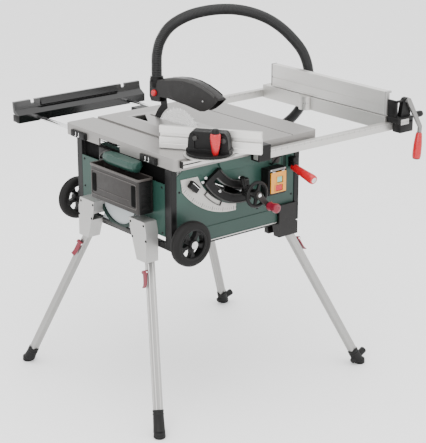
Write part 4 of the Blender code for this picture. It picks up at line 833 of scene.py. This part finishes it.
# ------------------------------------------------------------ drive and handwheel
def handwheel():
    """Handwheel with an oval rim, three spokes, its shaft, the crank arm and its nut."""
    x, z = HAND.x, HAND.z
    front = (x, -0.0565, z)
    rim = [(0.039 + 0.0058 * math.cos(a), 0.0062 + 0.0062 * math.sin(a))
        for a in (math.radians(30 * k) for k in range(12))]
    bm = add_ring(new(), rim, front, (x, 1, z), 56)
    add_lathe(bm, [(0.0125, 0.0), (0.015, 0.002), (0.016, 0.012), (0.014, 0.024), (0.012, 0.0265)],
        front, (x, 1, z), 36)
    for step in range(3):
        turn = pivoted((x, 0, z), math.radians(-(74 + 90 * step)), "Y")
        add_plate(bm, [[(0.011, -0.0062), (0.0355, -0.004), (0.0355, 0.004), (0.011, 0.0062)]],
            "XZ", -0.0545, -0.0475, turn)
    finish("handwheel_rim", bm, "black", "crank_body", ("handwheel",), bevel=0.0008)
    bm = add_lathe(new(), [(0.0075, 0.0), (0.0075, 0.105), (0.0135, 0.106), (0.013, 0.11),
        (0.0085, 0.116)], (x, -0.03, z), (x, 1, z), 28)
    finish("handwheel_shaft", bm, "steel", "crank_body")
    reach = Vector((0.041, 0, -0.043))
    turn = pivoted((x, 0, z), math.radians(46.4), "Y")
    arm = (arc((0.0, 0.0), 0.0115, 70, 290, 12) + arc((reach.length, 0.0), 0.008, -80, 80, 9))
    bm = add_plate(new(), [arm], "XZ", -0.0634, -0.0548, turn)
    finish("crank_arm", bm, "brown", "crank_body", bevel=0.0016)
    bm = add_lathe(new(), [(0.0066, 0.0), (0.0066, 0.003), (0.0052, 0.0042), (0.0024, 0.0046)],
        (x, -0.0633, z), (x, -1, z), 6)
    spot = Vector((x, -0.054, z)) + reach
    add_lathe(bm, [(0.005, 0.0), (0.005, 0.003), (0.003, 0.0042)], spot, spot + Vector((0, 1, 0)),
        20)
    finish("crank_nuts", bm, "chrome", "crank_body")
    bm = add_lathe(new(), [(0.0088, 0.0), (0.0142, 0.0016), (0.0152, 0.0052), (0.0132, 0.013),
        (0.013, 0.018), (0.0148, 0.027), (0.0157, 0.033), (0.0146, 0.0385), (0.0112, 0.0412),
        (0.006, 0.0418), (0.0052, 0.0408)], (x + reach.x, -0.0637, z + reach.z),
        (x + reach.x, -1, z + reach.z), 40)
    finish("crank_knob_body", bm, "crimson", "knob_body", ("crank_knob",))


def clamp():
    """Red fence clamp handle with its black hub and end button."""
    bm = add_lathe(new(), [(0.009, 0.0), (0.0108, 0.0012), (0.011, 0.004), (0.011, 0.0205),
        (0.0098, 0.0235)], (0.497, 0.0005, 0.762), (0.497, 1, 0.762), 28)
    add_plate(bm, [[(0.488, 0.738), (0.506, 0.738), (0.505, 0.763), (0.489, 0.763)]], "XZ", 0.002,
        0.02)
    finish("clamp_hub", bm, "black", "clamp", ("clamp_lever",), bevel=0.001)
    start, end = Vector((0.497, 0.016, 0.737)), Vector((0.497, -0.088, 0.712))
    bm = add_lathe(new(), [(0.0095, 0.0), (0.0118, 0.0025), (0.0124, 0.02), (0.0138, 0.055),
        (0.0156, 0.088), (0.016, 0.096), (0.015, 0.1035), (0.0118, 0.1068), (0.01, 0.1062)], start,
        end, 40)
    finish("clamp_grip", bm, "red", "clamp")
    tip = start + (end - start).normalized() * 0.105
    bm = add_lathe(new(), [(0.01, 0.0), (0.0095, 0.0012), (0.006, 0.0018)], tip, tip + end - start,
        28)
    finish("clamp_end", bm, "steel", "clamp")


def motor():
    """Motor with cooling fins, end bell and fan slots."""
    x, y, z = 0.3508, 0.4, 0.69
    profile = [(0.018, 0.0), (0.0435, 0.001), (0.046, 0.008)]
    for step in range(11):
        at = 0.012 + step * 0.0072
        profile += [(0.0462, at), (0.0498, at + 0.0012), (0.0498, at + 0.003),
            (0.0462, at + 0.0042)]
    profile += [(0.047, 0.0935), (0.0455, 0.0985), (0.042, 0.111), (0.036, 0.116), (0.02, 0.1168)]
    bm = add_lathe(new(), profile, (x, y, z), (1, y, z), 48)
    finish("motor_body", bm, "black_paint", "lift_body", ("motor",), sharp=40)
    # painted shade: near-black plates on the end bell stand for the shade inside the fan slots
    bm = new()
    for step in range(12):
        turn = pivoted((0, y, z), math.radians(30 * step), "X")
        add_plate(bm, [rounded(0.0215, -0.0022, 0.033, 0.0022, 0.0018)], "YZ", x + 0.1164,
            x + 0.1172, turn)
    finish("motor_fan_slot_shade", bm, "dark", "lift_body")


# ------------------------------------------------------------ stand
LEGS = {
    "front_left": ((-0.016, 0.118, 0.522), (-0.142, -0.092)),
    "rear_left": ((-0.016, 0.44, 0.522), (-0.142, 0.672)),
    "front_right": ((0.505, 0.055, 0.515), (0.742, -0.08)),
    "rear_right": ((0.512, 0.517, 0.515), (0.742, 0.664)),
}


def leg_frame(name):
    """Pivot, foot, directions (pin, across, down) and the matrix that turns to them."""
    pivot, (fx, fy) = LEGS[name]
    pivot, foot = Vector(pivot), Vector((fx, fy, 0.0))
    down = (foot - pivot).normalized()
    inward = RIGHT if "left" in name else -RIGHT
    pin = down.cross(inward).normalized()
    across = pin.cross(down).normalized()
    return pivot, foot, down, pin, across, Matrix((pin, across, down)).transposed().to_4x4()


def tube_section(width, depth, corner, groove, sunk):
    """A square tube's outline with a shallow channel down the middle of each side."""
    w, d, g = width / 2, depth / 2, groove / 2
    quarter = [(w, -d + corner), (w, -g), (w - sunk, -g * 0.7), (w - sunk, g * 0.7), (w, g)]
    quarter += arc((w - corner, d - corner), corner, 0, 90, 4)
    quarter += [(g, d), (g * 0.7, d - sunk), (-g * 0.7, d - sunk), (-g, d)]
    half = quarter[1:] + arc((-w + corner, d - corner), corner, 90, 180, 4)
    return half + [(-a, -b) for a, b in half]


def leg(name):
    """Drawn tube with a channel, its end plug, rubber boot, pad and release lever."""
    body = "leg_" + name
    pivot, foot, down, pin, across, turn = leg_frame(name)
    start = pivot - down * 0.0158
    length = (foot - down * 0.02 - start).length
    place = Matrix.Translation(start) @ turn
    bm = add_plate(new(), [tube_section(0.023, 0.027, 0.0045, 0.0075, 0.0012)], "XY", 0.0, length,
        place)
    finish(f"leg_tube_{name}", bm, "leg", body, (body,), sharp=25)
    bm = add_plate(new(), [rounded(-0.0112, -0.0132, 0.0112, 0.0132, 0.004)], "XY", -0.0004, 0.003,
        place)
    finish(f"leg_plug_{name}", bm, "black", body, bevel=0.0006)
    boot = 0.086 if name == "front_left" else 0.06
    top = foot - down * boot
    r = 0.0172
    bm = add_lathe(new(), [(r - 0.0008, 0.0), (r + 0.0006, 0.0014), (r + 0.0008, 0.006),
        (r - 0.0002, 0.0075), (r - 0.0002, 0.01), (r + 0.0008, 0.0115), (r + 0.001, 0.015),
        (r, 0.0168), (r + 0.0012, boot - 0.03), (r + 0.0022, boot - 0.0165),
        (r + 0.0002, boot - 0.013)], top, foot, 32)
    pad = 0.0192 if name == "front_left" else 0.0182
    add_lathe(bm, [(pad - 0.0022, 0.0002), (pad, 0.003), (pad, 0.007), (pad - 0.0008, 0.008),
        (pad - 0.0008, 0.0095), (pad, 0.0105), (pad - 0.0008, 0.018), (pad - 0.004, 0.021)], foot,
        foot + UP, 36)
    if "right" in name:
        middle = foot - down * 0.026
        add_rod(bm, middle - across * 0.044, middle + across * 0.026, 0.0118, 0.01, 0.004)
    finish(f"leg_boot_{name}", bm, "foot", body)
    at = pivot + down * 0.06 - across * (0.0135 + 0.007)
    local = Matrix.Translation(at) @ Matrix((across, down, -pin)).transposed().to_4x4()
    blade = [(-0.003, 0.0), (0.0025, 0.0), (0.0024, 0.02), (0.0002, 0.038), (-0.0034, 0.0485),
        (-0.0072, 0.0505), (-0.0085, 0.048), (-0.0052, 0.043), (-0.0032, 0.034), (-0.003, 0.018)]
    bm = add_plate(new(), [blade], "XY", -0.0082, 0.0082, local)
    add_rod(bm, at - pin * 0.011, at + pin * 0.011, 0.0064)
    finish(f"release_lever_{name}", bm, "crimson", "latch_" + name, ("release_" + name,),
        bevel=0.0009)
    bm = new()
    for side in (-1, 1):
        add_lathe(bm, [(0.0034, 0.0), (0.0034, 0.001), (0.002, 0.0018)], at + pin * side * 0.0108,
            at + pin * side, 16)
    finish(f"release_pin_{name}", bm, "chrome", "latch_" + name)


def bracket_bolts():
    """Pivot bolts of the legs and the fixing holes and screws of their brackets."""
    bm = new()
    for name in LEGS:
        pivot, _, _, pin, _, _ = leg_frame(name)
        for side in (-1, 1):
            head = pivot + pin * side * 0.0212
            add_lathe(bm, [(0.0072, 0.0), (0.0078, 0.0008), (0.0078, 0.0036), (0.0062, 0.0048),
                (0.003, 0.005)], head, head + pin * side, 20)
    finish("leg_pivot_bolts", bm, "steel")
    bm = new()
    for name in ("front_left", "rear_left"):
        pivot = Vector(LEGS[name][0])
        lean = 0.5 * (LEGS[name][1][1] - pivot.y) / pivot.z
        for side in (-1, 1):
            for drop, wide in ((0.1, 0.034), (0.052, 0.0355)):
                y = pivot.y - lean * (drop + 0.006) + side * wide
                screw(bm, (pivot.x - 0.0309, y, pivot.z + drop), (-1, 0, 0), 0.0042, 0.0012)
    # painted shade: the bracket screws take the near-black hole finish, standing for the shade in
    # the fixing holes around them
    finish("side_bracket_screws", bm, "dark")


def wheel(name, body, y0):
    """Rubber tyre on a five-spoked rim with a hub cap."""
    x, z, wide = AXLE_X, AXLE_Z, WHEEL_WIDTH
    start, end = (x, y0, z), (x, y0 + 1, z)
    tyre = [(0.0505, 0.003), (0.056, 0.0008), (0.063, 0.0012), (0.0688, 0.0045), (0.0718, 0.009),
        (0.0729, 0.014), (0.0729, 0.018), (0.072, 0.0184), (0.072, 0.0196), (0.0729, 0.02),
        (0.0729, 0.024), (0.0718, wide - 0.009), (0.0688, wide - 0.0045), (0.063, wide - 0.0012),
        (0.056, wide - 0.0008), (0.0505, wide - 0.003)]
    bm = add_ring(new(), tyre, start, end, 64)
    finish(f"{name}_tyre", bm, "rubber", body, (name,), sharp=40)
    rim = [(0.044, 0.005), (0.0455, 0.0035), (0.0495, 0.0022), (0.0515, 0.0035),
        (0.0515, wide - 0.0035), (0.0495, wide - 0.0022), (0.0455, wide - 0.0035),
        (0.044, wide - 0.005)]
    bm = add_ring(new(), rim, start, end, 56)
    for step in range(5):
        turn = pivoted((x, 0, z), math.radians(-(126 + 72 * step)), "Y")
        spoke = [(0.01, -0.007), (0.03, -0.0052), (0.045, -0.0115), (0.045, 0.0115),
            (0.03, 0.0052), (0.01, 0.007)]
        add_plate(bm, [spoke], "XZ", y0 + 0.0095, y0 + wide - 0.0095, turn)
    add_ring(bm, [(0.0068, 0.001), (0.015, 0.001), (0.0165, 0.004), (0.0165, wide - 0.004),
        (0.015, wide - 0.001), (0.0068, wide - 0.001)], start, end, 36)
    finish(f"{name}_rim", bm, "black", body, bevel=0.0008)


def axle_caps():
    """Dished caps on the two ends of the axle."""
    bm = new()
    cap = [(0.012, 0.0), (0.0122, 0.0012), (0.0095, 0.0032), (0.004, 0.004)]
    for end, beyond in ((-0.0455, -1), (0.6165, 2)):
        add_lathe(bm, cap, (AXLE_X, end, AXLE_Z), (AXLE_X, beyond, AXLE_Z), 28)
    finish("axle_end_caps", bm, "steel")


# ------------------------------------------------------------ guard and blade
def guard():
    """Hollow hood over the blade, its rear clamp, spigot collar and red catch."""
    roof = [(0.446, 0.984), (0.4, 0.996), (0.35, 1.006), (0.3, 1.012), (0.25, 1.011),
        (0.205, 1.004), (0.165, 0.993), (0.124, 0.977)]
    sill = [(0.122, 0.971), (0.145, 0.952), (0.172, 0.933), (0.192, 0.923), (0.215, 0.919),
        (0.29, 0.926), (0.385, 0.93), (0.446, 0.926)]
    half, x = 0.0168, PIVOT.x
    bm = add_plate(new(), [roof + sill], "YZ", x - half, x + half)
    crown = set(roof)
    rim = [e for e in bm.edges if abs(e.verts[0].co.x - e.verts[1].co.x) < 1e-6
        and all((round(v.co.y, 4), round(v.co.z, 4)) in crown for v in e.verts)]
    bmesh.ops.bevel(bm, geom=rim, offset=0.0075, segments=5, profile=0.5, affect="EDGES",
        material=-1)
    bmesh.ops.recalc_face_normals(bm, faces=bm.faces)
    under = [f for f in bm.faces if f.normal.z < -0.35]
    bmesh.ops.delete(bm, geom=under, context="FACES")
    bmesh.ops.recalc_face_normals(bm, faces=bm.faces)
    bmesh.ops.solidify(bm, geom=bm.faces[:], thickness=0.0018)
    cheek = [(0.434, 0.909), (0.481, 0.905), (0.4905, 0.921), (0.489, 0.972), (0.434, 0.972)]
    for low, high in ((x - 0.0155, x - 0.0024), (x + 0.0024, x + 0.0155)):
        add_plate(bm, [cheek], "YZ", low, high)
    finish("guard_shell", bm, "dark_brown", "guard", ("guard_hood",), sharp=28)
    bm = new()
    ridge = [(0.4, 0.9962), (0.35, 1.0062), (0.3, 1.0122), (0.25, 1.0112), (0.205, 1.0042),
        (0.165, 0.9932), (0.14, 0.9835)]
    low = [(y + 0.0005, z - 0.0085) for y, z in ridge[::-1]]
    for left, right in ((x - 0.0176, x - 0.0166), (x + 0.0166, x + 0.0176)):
        add_plate(bm, [ridge + low], "YZ", left, right)
    finish("guard_top_band", bm, "smoke", "guard")
    bm = new()
    add_lathe(bm, [(0.017, 0.0), (0.0205, 0.001), (0.0222, 0.006), (0.0222, 0.018),
        (0.0236, 0.019), (0.0236, 0.03), (0.0222, 0.031), (0.0222, 0.0365), (0.0178, 0.0372),
        (0.0176, 0.02)], (x, 0.468, 0.953), (x, 0.468, 2), 36)
    add_block(bm, (x - 0.0262, 0.463, 0.974), (x - 0.0205, 0.473, 0.982), 0.0012)
    finish("guard_spigot", bm, "black", "guard")
    bm = new()
    for side in (-1, 1):
        screw(bm, (x + side * 0.0157, 0.474, 0.958), (side, 0, 0), 0.0036)
        screw(bm, (x + side * 0.017, 0.2, 0.955), (side, 0, 0), 0.003)
    finish("guard_screws", bm, "steel", "guard")
    bm = add_lathe(new(), [(0.01, 0.0), (0.0112, 0.0015), (0.0112, 0.008), (0.0095, 0.0108),
        (0.005, 0.0118)], (x - 0.0135, 0.46, 0.936), (0, 0.46, 0.936), 32)
    finish("guard_catch", bm, "red", "guard_catch", ("guard_button",))


def blade():
    """Saw blade with raked carbide teeth and gullets."""
    teeth, half = 40, 0.0009
    outline = []
    shape = ((0.0, -0.0008), (0.05, -0.004), (0.16, -0.0088), (0.26, -0.0086), (0.4, -0.005),
        (0.8, -0.002), (0.95, -0.001))
    for tooth in range(teeth):
        for share, drop in shape:
            angle = 2 * math.pi * (tooth + share) / teeth
            r = BLADE_RADIUS + drop
            outline.append((ARBOR.y + r * math.cos(angle), ARBOR.z + r * math.sin(angle)))
    bm = add_plate(new(), [outline, arc((ARBOR.y, ARBOR.z), 0.0152, 0, 351, 40)], "YZ",
        ARBOR.x - half, ARBOR.x + half)
    finish("blade_disc", bm, "blade", "spindle", ("saw_blade",), sharp=20)
    bm = new()
    for tooth in range(teeth):
        angle = 2 * math.pi * (tooth + 0.985) / teeth
        turn = pivoted((0, ARBOR.y, ARBOR.z), angle, "X")
        r = BLADE_RADIUS
        add_plate(bm, [[(r - 0.0062, -0.0018), (r - 0.001, -0.0022), (r - 0.0003, 0.0008),
            (r - 0.0062, 0.0004)]], "YZ", ARBOR.x - 0.0012, ARBOR.x + 0.0012, turn)
    finish("blade_tips", bm, "steel", "spindle")


# ------------------------------------------------------------ fences
def mitre():
    """Mitre gauge: marked base, black head, red grip and T-slot fence."""
    turn = pivoted(MITRE, math.radians(-55), "Z")
    base = TOP + 0.0008
    bm = add_plate(new(), [arc((0, -0.004), 0.0795, 184, 356, 40) + [(0.079, 0.012),
        (-0.079, 0.012)]], "XY", base - 0.0002, base + 0.0038, turn)
    finish("mitre_protractor", bm, "protractor", "mitre_swivel", bevel=0.0006)
    bm = add_plate(new(), [arc((0, -0.004), 0.0715, 182, 358, 32) + [(0.0715, 0.012),
        (-0.0715, 0.012)]], "XY", base + 0.004, base + 0.0115, turn)
    wall = [(-0.066, 0.862), (0.066, 0.862), (0.0635, 0.903), (0.059, 0.917), (0.051, 0.9255),
        (-0.051, 0.9255), (-0.059, 0.917), (-0.0635, 0.903)]
    add_plate(bm, [wall], "XZ", -0.019, 0.0235, turn)
    add_plate(bm, [[(-0.07, 0.861), (0.07, 0.861), (0.069, 0.872), (-0.069, 0.872)]], "XZ",
        -0.0235, 0.0235, turn)
    for side in (-1, 1):
        add_plate(bm, [[(side * 0.0665, 0.862), (side * 0.04, 0.862), (side * 0.044, 0.918),
            (side * 0.058, 0.914)]], "XZ", -0.0225, -0.0185, turn)
    finish("mitre_body", bm, "black", "mitre_swivel", ("mitre_head",), sharp=30, bevel=0.0014)
    bm = new()
    for x, z in ((-0.04, 0.905), (0.05, 0.902)):
        place = turn @ Vector((x, -0.0192, z))
        out = turn.to_3x3() @ Vector((0, -1, 0))
        add_lathe(bm, [(0.0085, 0.0), (0.0085, 0.004), (0.007, 0.0065), (0.003, 0.007)], place,
            place + out, 24)
    finish("mitre_knobs", bm, "smoke", "mitre_swivel")
    profile = [(0.0245, 0.8535), (0.0405, 0.8535), (0.0405, 0.924), (0.0245, 0.924),
        (0.0245, 0.902), (0.031, 0.902), (0.031, 0.905), (0.0355, 0.905), (0.0355, 0.886),
        (0.031, 0.886), (0.031, 0.889), (0.0245, 0.889), (0.0245, 0.87), (0.0255, 0.869),
        (0.0245, 0.868)]
    bm = add_plate(new(), [profile], "YZ", -0.17, 0.158, turn)
    finish("mitre_rail", bm, "fence", "mitre_fence_body", ("mitre_fence",), sharp=25, bevel=0.0005)
    grip = turn @ Vector((0.03, -0.04, 0.0))
    bm = add_lathe(new(), [(0.006, 0.0), (0.0072, 0.0015), (0.009, 0.006), (0.012, 0.02),
        (0.0146, 0.036), (0.016, 0.052), (0.0164, 0.062), (0.015, 0.0675), (0.0128, 0.069)],
        (grip.x, grip.y, base + 0.0085), (grip.x, grip.y, 2), 40)
    finish("mitre_grip_body", bm, "red", "mitre_knob", ("mitre_grip",))
    bm = add_lathe(new(), [(0.0124, 0.0), (0.013, 0.0015), (0.0126, 0.01), (0.01, 0.0145),
        (0.0045, 0.016)], (grip.x, grip.y, base + 0.0768), (grip.x, grip.y, 2), 32)
    finish("mitre_grip_cap", bm, "black", "mitre_knob")


def rip_fence():
    """Rip fence extrusion with grooves, its end caps, head, knob and lever."""
    x0, x1, low, high = 0.893, 0.916, TOP + 0.0015, 0.933
    face = [(x0, low), (x1, low), (x1, high), (x0 + 0.0006, high), (x0, high - 0.0006),
        (x0, 0.8875), (x0 + 0.0016, 0.8865), (x0 + 0.0016, 0.8845), (x0, 0.8835), (x0, 0.8585),
        (x0 + 0.0012, 0.8575), (x0, 0.8565)]
    bm = add_plate(new(), [face], "XZ", -0.008, 0.568)
    finish("fence_extrusion", bm, "fence", "fence", ("rip_fence",), sharp=25)
    bm = add_plate(new(), [[(x0 - 0.0006, low), (x1 + 0.0006, low), (x1 + 0.0006, high + 0.0006),
        (x0 - 0.0006, high + 0.0006)]], "XZ", 0.568, 0.572)
    add_plate(bm, [[(x1 + 0.0001, low + 0.004), (x1 + 0.0022, low + 0.004),
        (x1 + 0.0022, high - 0.004), (x1 + 0.0001, high - 0.004)]], "XZ", 0.5, 0.566)
    finish("fence_far_cap", bm, "black", "fence", bevel=0.0006)
    bm = add_plate(new(), [[(x0 - 0.001, low), (x0 + 0.028, low), (x0 + 0.028, low + 0.008),
        (x0 + 0.01, low + 0.008), (x0 + 0.01, high - 0.006), (x0 + 0.024, high - 0.006),
        (x0 + 0.024, high + 0.001), (x0 - 0.001, high + 0.001)]], "XZ", -0.0165, -0.008)
    finish("fence_front_cap", bm, "plate", "fence", bevel=0.0012)
    bm = new()
    add_block(bm, (0.895, -0.074, 0.8297), (0.968, -0.0167, 0.8505), 0.003)
    add_block(bm, (0.905, -0.074, 0.797), (0.968, -0.0368, 0.84), 0.003)
    fin = [(0.92, 0.846), (0.967, 0.846), (0.9665, 0.9), (0.96, 0.911), (0.949, 0.914),
        (0.938, 0.912), (0.93, 0.902)]
    add_plate(bm, [fin], "XZ", -0.06, -0.042)
    add_block(bm, (0.898, -0.0575, 0.9), (0.944, -0.0465, 0.9065), 0.0015)
    add_block(bm, (0.898, -0.0575, 0.8495), (0.9075, -0.017, 0.907), 0.0015)
    finish("fence_clamp", bm, "black", "fence", ("fence_head",), bevel=0.0008)
    bm = new()
    add_block(bm, (0.906, -0.0762, 0.826), (0.944, -0.0735, 0.845), 0.001)
    for x in (0.914, 0.936):
        screw(bm, (x, -0.0762, 0.8355), (0, -1, 0), 0.003)
    finish("fence_clamp_plate", bm, "plate", "fence")
    bm = add_rod(new(), (0.962, -0.0435, 0.8415), (1.012, -0.0435, 0.8415), 0.005)
    add_rod(bm, (0.945, -0.0602, 0.903), (0.945, -0.0605, 0.903), 0.006)
    finish("fence_knob_rod", bm, "steel", "fence")
    bm = add_lathe(new(), [(0.007, 0.0), (0.01, 0.001), (0.011, 0.004), (0.011, 0.024),
        (0.0098, 0.0285), (0.005, 0.03)], (1.01, -0.0435, 0.8415), (2, -0.0435, 0.8415), 24)
    finish("fence_knob", bm, "black", "fence")
    arm = [(0.9405, 0.9005), (0.9425, 0.909), (0.9485, 0.9135), (0.9555, 0.912), (1.018, 0.806),
        (1.0165, 0.78), (1.002, 0.78), (1.003, 0.802)]
    bm = add_plate(new(), [arm], "XZ", -0.0708, -0.0607)
    finish("fence_lever_arm", bm, "grey", "fence_lock", bevel=0.002)
    bm = add_lathe(new(), [(0.0085, 0.0), (0.0105, 0.002), (0.0122, 0.014), (0.0146, 0.04),
        (0.0155, 0.066), (0.0152, 0.082), (0.0135, 0.09)], (1.0075, -0.0665, 0.783),
        (0.99, -0.0665, 0.6), 36)
    finish("fence_lever_grip", bm, "red", "fence_lock", ("fence_lever",))
    hang = Vector((-0.0175, 0, -0.183))
    tip = Vector((1.0075, -0.0665, 0.783)) + hang.normalized() * 0.0895
    bm = add_lathe(new(), [(0.0136, 0.0), (0.0128, 0.0025), (0.008, 0.0045)], tip, tip + hang, 28)
    finish("fence_lever_tip", bm, "black", "fence_lock")


def outfeed():
    """Chrome sleeves of the outfeed rods, their end bolts and the bar's grip strip."""
    for side, x in OUTFEED_RODS.items():
        bm = add_rod(new(), (x, 0.429, 0.7905), (x, 0.9225, 0.7905), 0.0069, steps=24)
        finish(f"outfeed_rod_{side}", bm, "chrome", "outfeed")
    bm = new()
    for x in OUTFEED_RODS.values():
        screw(bm, (x, 0.9385, 0.788), (0, 1, 0), 0.0052)
    add_block(bm, (0.0145, 0.9195, 0.7795), (0.0165, 0.96, 0.805), 0.0008)
    add_block(bm, (0.5635, 0.9195, 0.7795), (0.5655, 0.96, 0.805), 0.0008)
    finish("outfeed_ends", bm, "black", "outfeed")
    bm = new()
    for x in OUTFEED_RODS.values():
        add_lathe(bm, [(0.0072, 0), (0.0105, 0.0005), (0.012, 0.002), (0.012, 0.01), (0.01, 0.012),
            (0.0072, 0.012)], (x, 0.6003, 0.7905), (x, 1, 0.7905), 28)
    finish("outfeed_bushes", bm, "black")
    bm = add_plate(new(), [[(0.9425, 0.828), (0.9475, 0.8225), (0.953, 0.8497), (0.952, 0.85)]],
        "YZ", 0.125, 0.46)
    finish("outfeed_lip", bm, "gloss", "outfeed")


# ------------------------------------------------------------ suction hose
HOSE_ROUTE = (
    (0.285, 0.468, 0.9905), (0.285, 0.468, 1.025), (0.288, 0.469, 1.065),
    (0.306, 0.471, 1.11), (0.352, 0.474, 1.152), (0.435, 0.477, 1.178),
    (0.539, 0.48, 1.184), (0.64, 0.48, 1.174), (0.735, 0.48, 1.148),
    (0.82, 0.48, 1.108), (0.9, 0.482, 1.05), (0.972, 0.486, 0.975),
    (1.006, 0.491, 0.89), (0.999, 0.497, 0.815), (0.955, 0.506, 0.745),
    (0.88, 0.53, 0.695), (0.79, 0.575, 0.668), (0.69, 0.628, 0.652),
    (0.58, 0.668, 0.644), (0.475, 0.68, 0.646), (0.4, 0.66, 0.652),
    (0.366, 0.629, 0.655), (0.36, 0.5985, 0.655),
)


def hose_look():
    """Black corrugated hose: dusty grooves, worn shiny crests."""
    made = Shader("corrugated_hose", (0.003, 0.003, 0.0032), 0.36, Specular_IOR_Level=0.35)
    dust = made.noise(60.0, 5.0, 0.7)
    made.feed("Base Color", made.shade(dust, 0.7, 1.7))
    made.feed("Roughness", 0.34 + dust * 0.2)
    return made.bump(made.noise(700.0, 2.0), 0.0002, 0.3)


def hose():
    """Corrugated hose from the guard to the chip port."""
    LOOKS["hose"] = hose_look()
    pitch = 0.0058
    points, length = smooth_route(HOSE_ROUTE, pitch / 4)
    swell = (0.0, -0.0016, -0.0022, -0.0016)
    radii = [HOSE_RADIUS + swell[i % 4] for i in range(len(points))]
    bm = add_tube(new(), points, radii, 18)
    made = finish("corrugated_hose", bm, "hose", replaces=("suction_hose",), sharp=60)
    middle, _ = smooth_route(HOSE_ROUTE, 0.03)
    [tuple(CORNER + p) for p in middle]


CARRIED = {
    "table_top": "table", "table_insert": "insert", "front_rail": "rail", "rail_guide": "black",
    "rear_guide": "black", "chassis_frame": "black_paint", "front_panel": "front_green",
    "left_panel": "green", "right_panel": "green", "rear_panel": "green", "chip_port": "black",
    "bevel_scale": "scale", "arc_guide": "black", "switch_box": "black", "side_grip": "green",
    "bracket_front_left": "plate", "bracket_rear_left": "plate",
    "bracket_front_right": "dark_brown", "bracket_rear_right": "dark_brown",
    "wheel_axle": "steel", "switch_flap": "yellow", "start_button": "mint",
    "stop_button": "red", "tilt_carriage": "black_paint", "tilt_lock": "black",
    "lift_screw": "steel", "lift_carriage": "cast", "drive_belt": "rubber",
    "riving_knife": "black_paint", "motor_pulley": "steel", "arbor": "steel",
    "mitre_bar": "steel", "extension_frame": "ruled_rail", "outfeed_bar": "gloss",
}


def carried_nodes():
    """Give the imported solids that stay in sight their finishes."""
    for node, finish_name in CARRIED.items():
        made = bpy.data.objects[node]
        made.data.materials.clear()
        made.data.materials.append(look(finish_name))


camera()
studio()
looks()
more_looks()
hose()
front_trim()
arc_guide_trim()
switch_trim()
side_trim()
louvres()
table_screws()
storage_box()
handwheel()
clamp()
motor()
for leg_name in LEGS:
    leg(leg_name)
bracket_bolts()
wheel("wheel_front", "wheel_f", -0.045)
wheel("wheel_rear", "wheel_r", 0.578)
axle_caps()
guard()
blade()
mitre()
rip_fence()
outfeed()
carried_nodes()
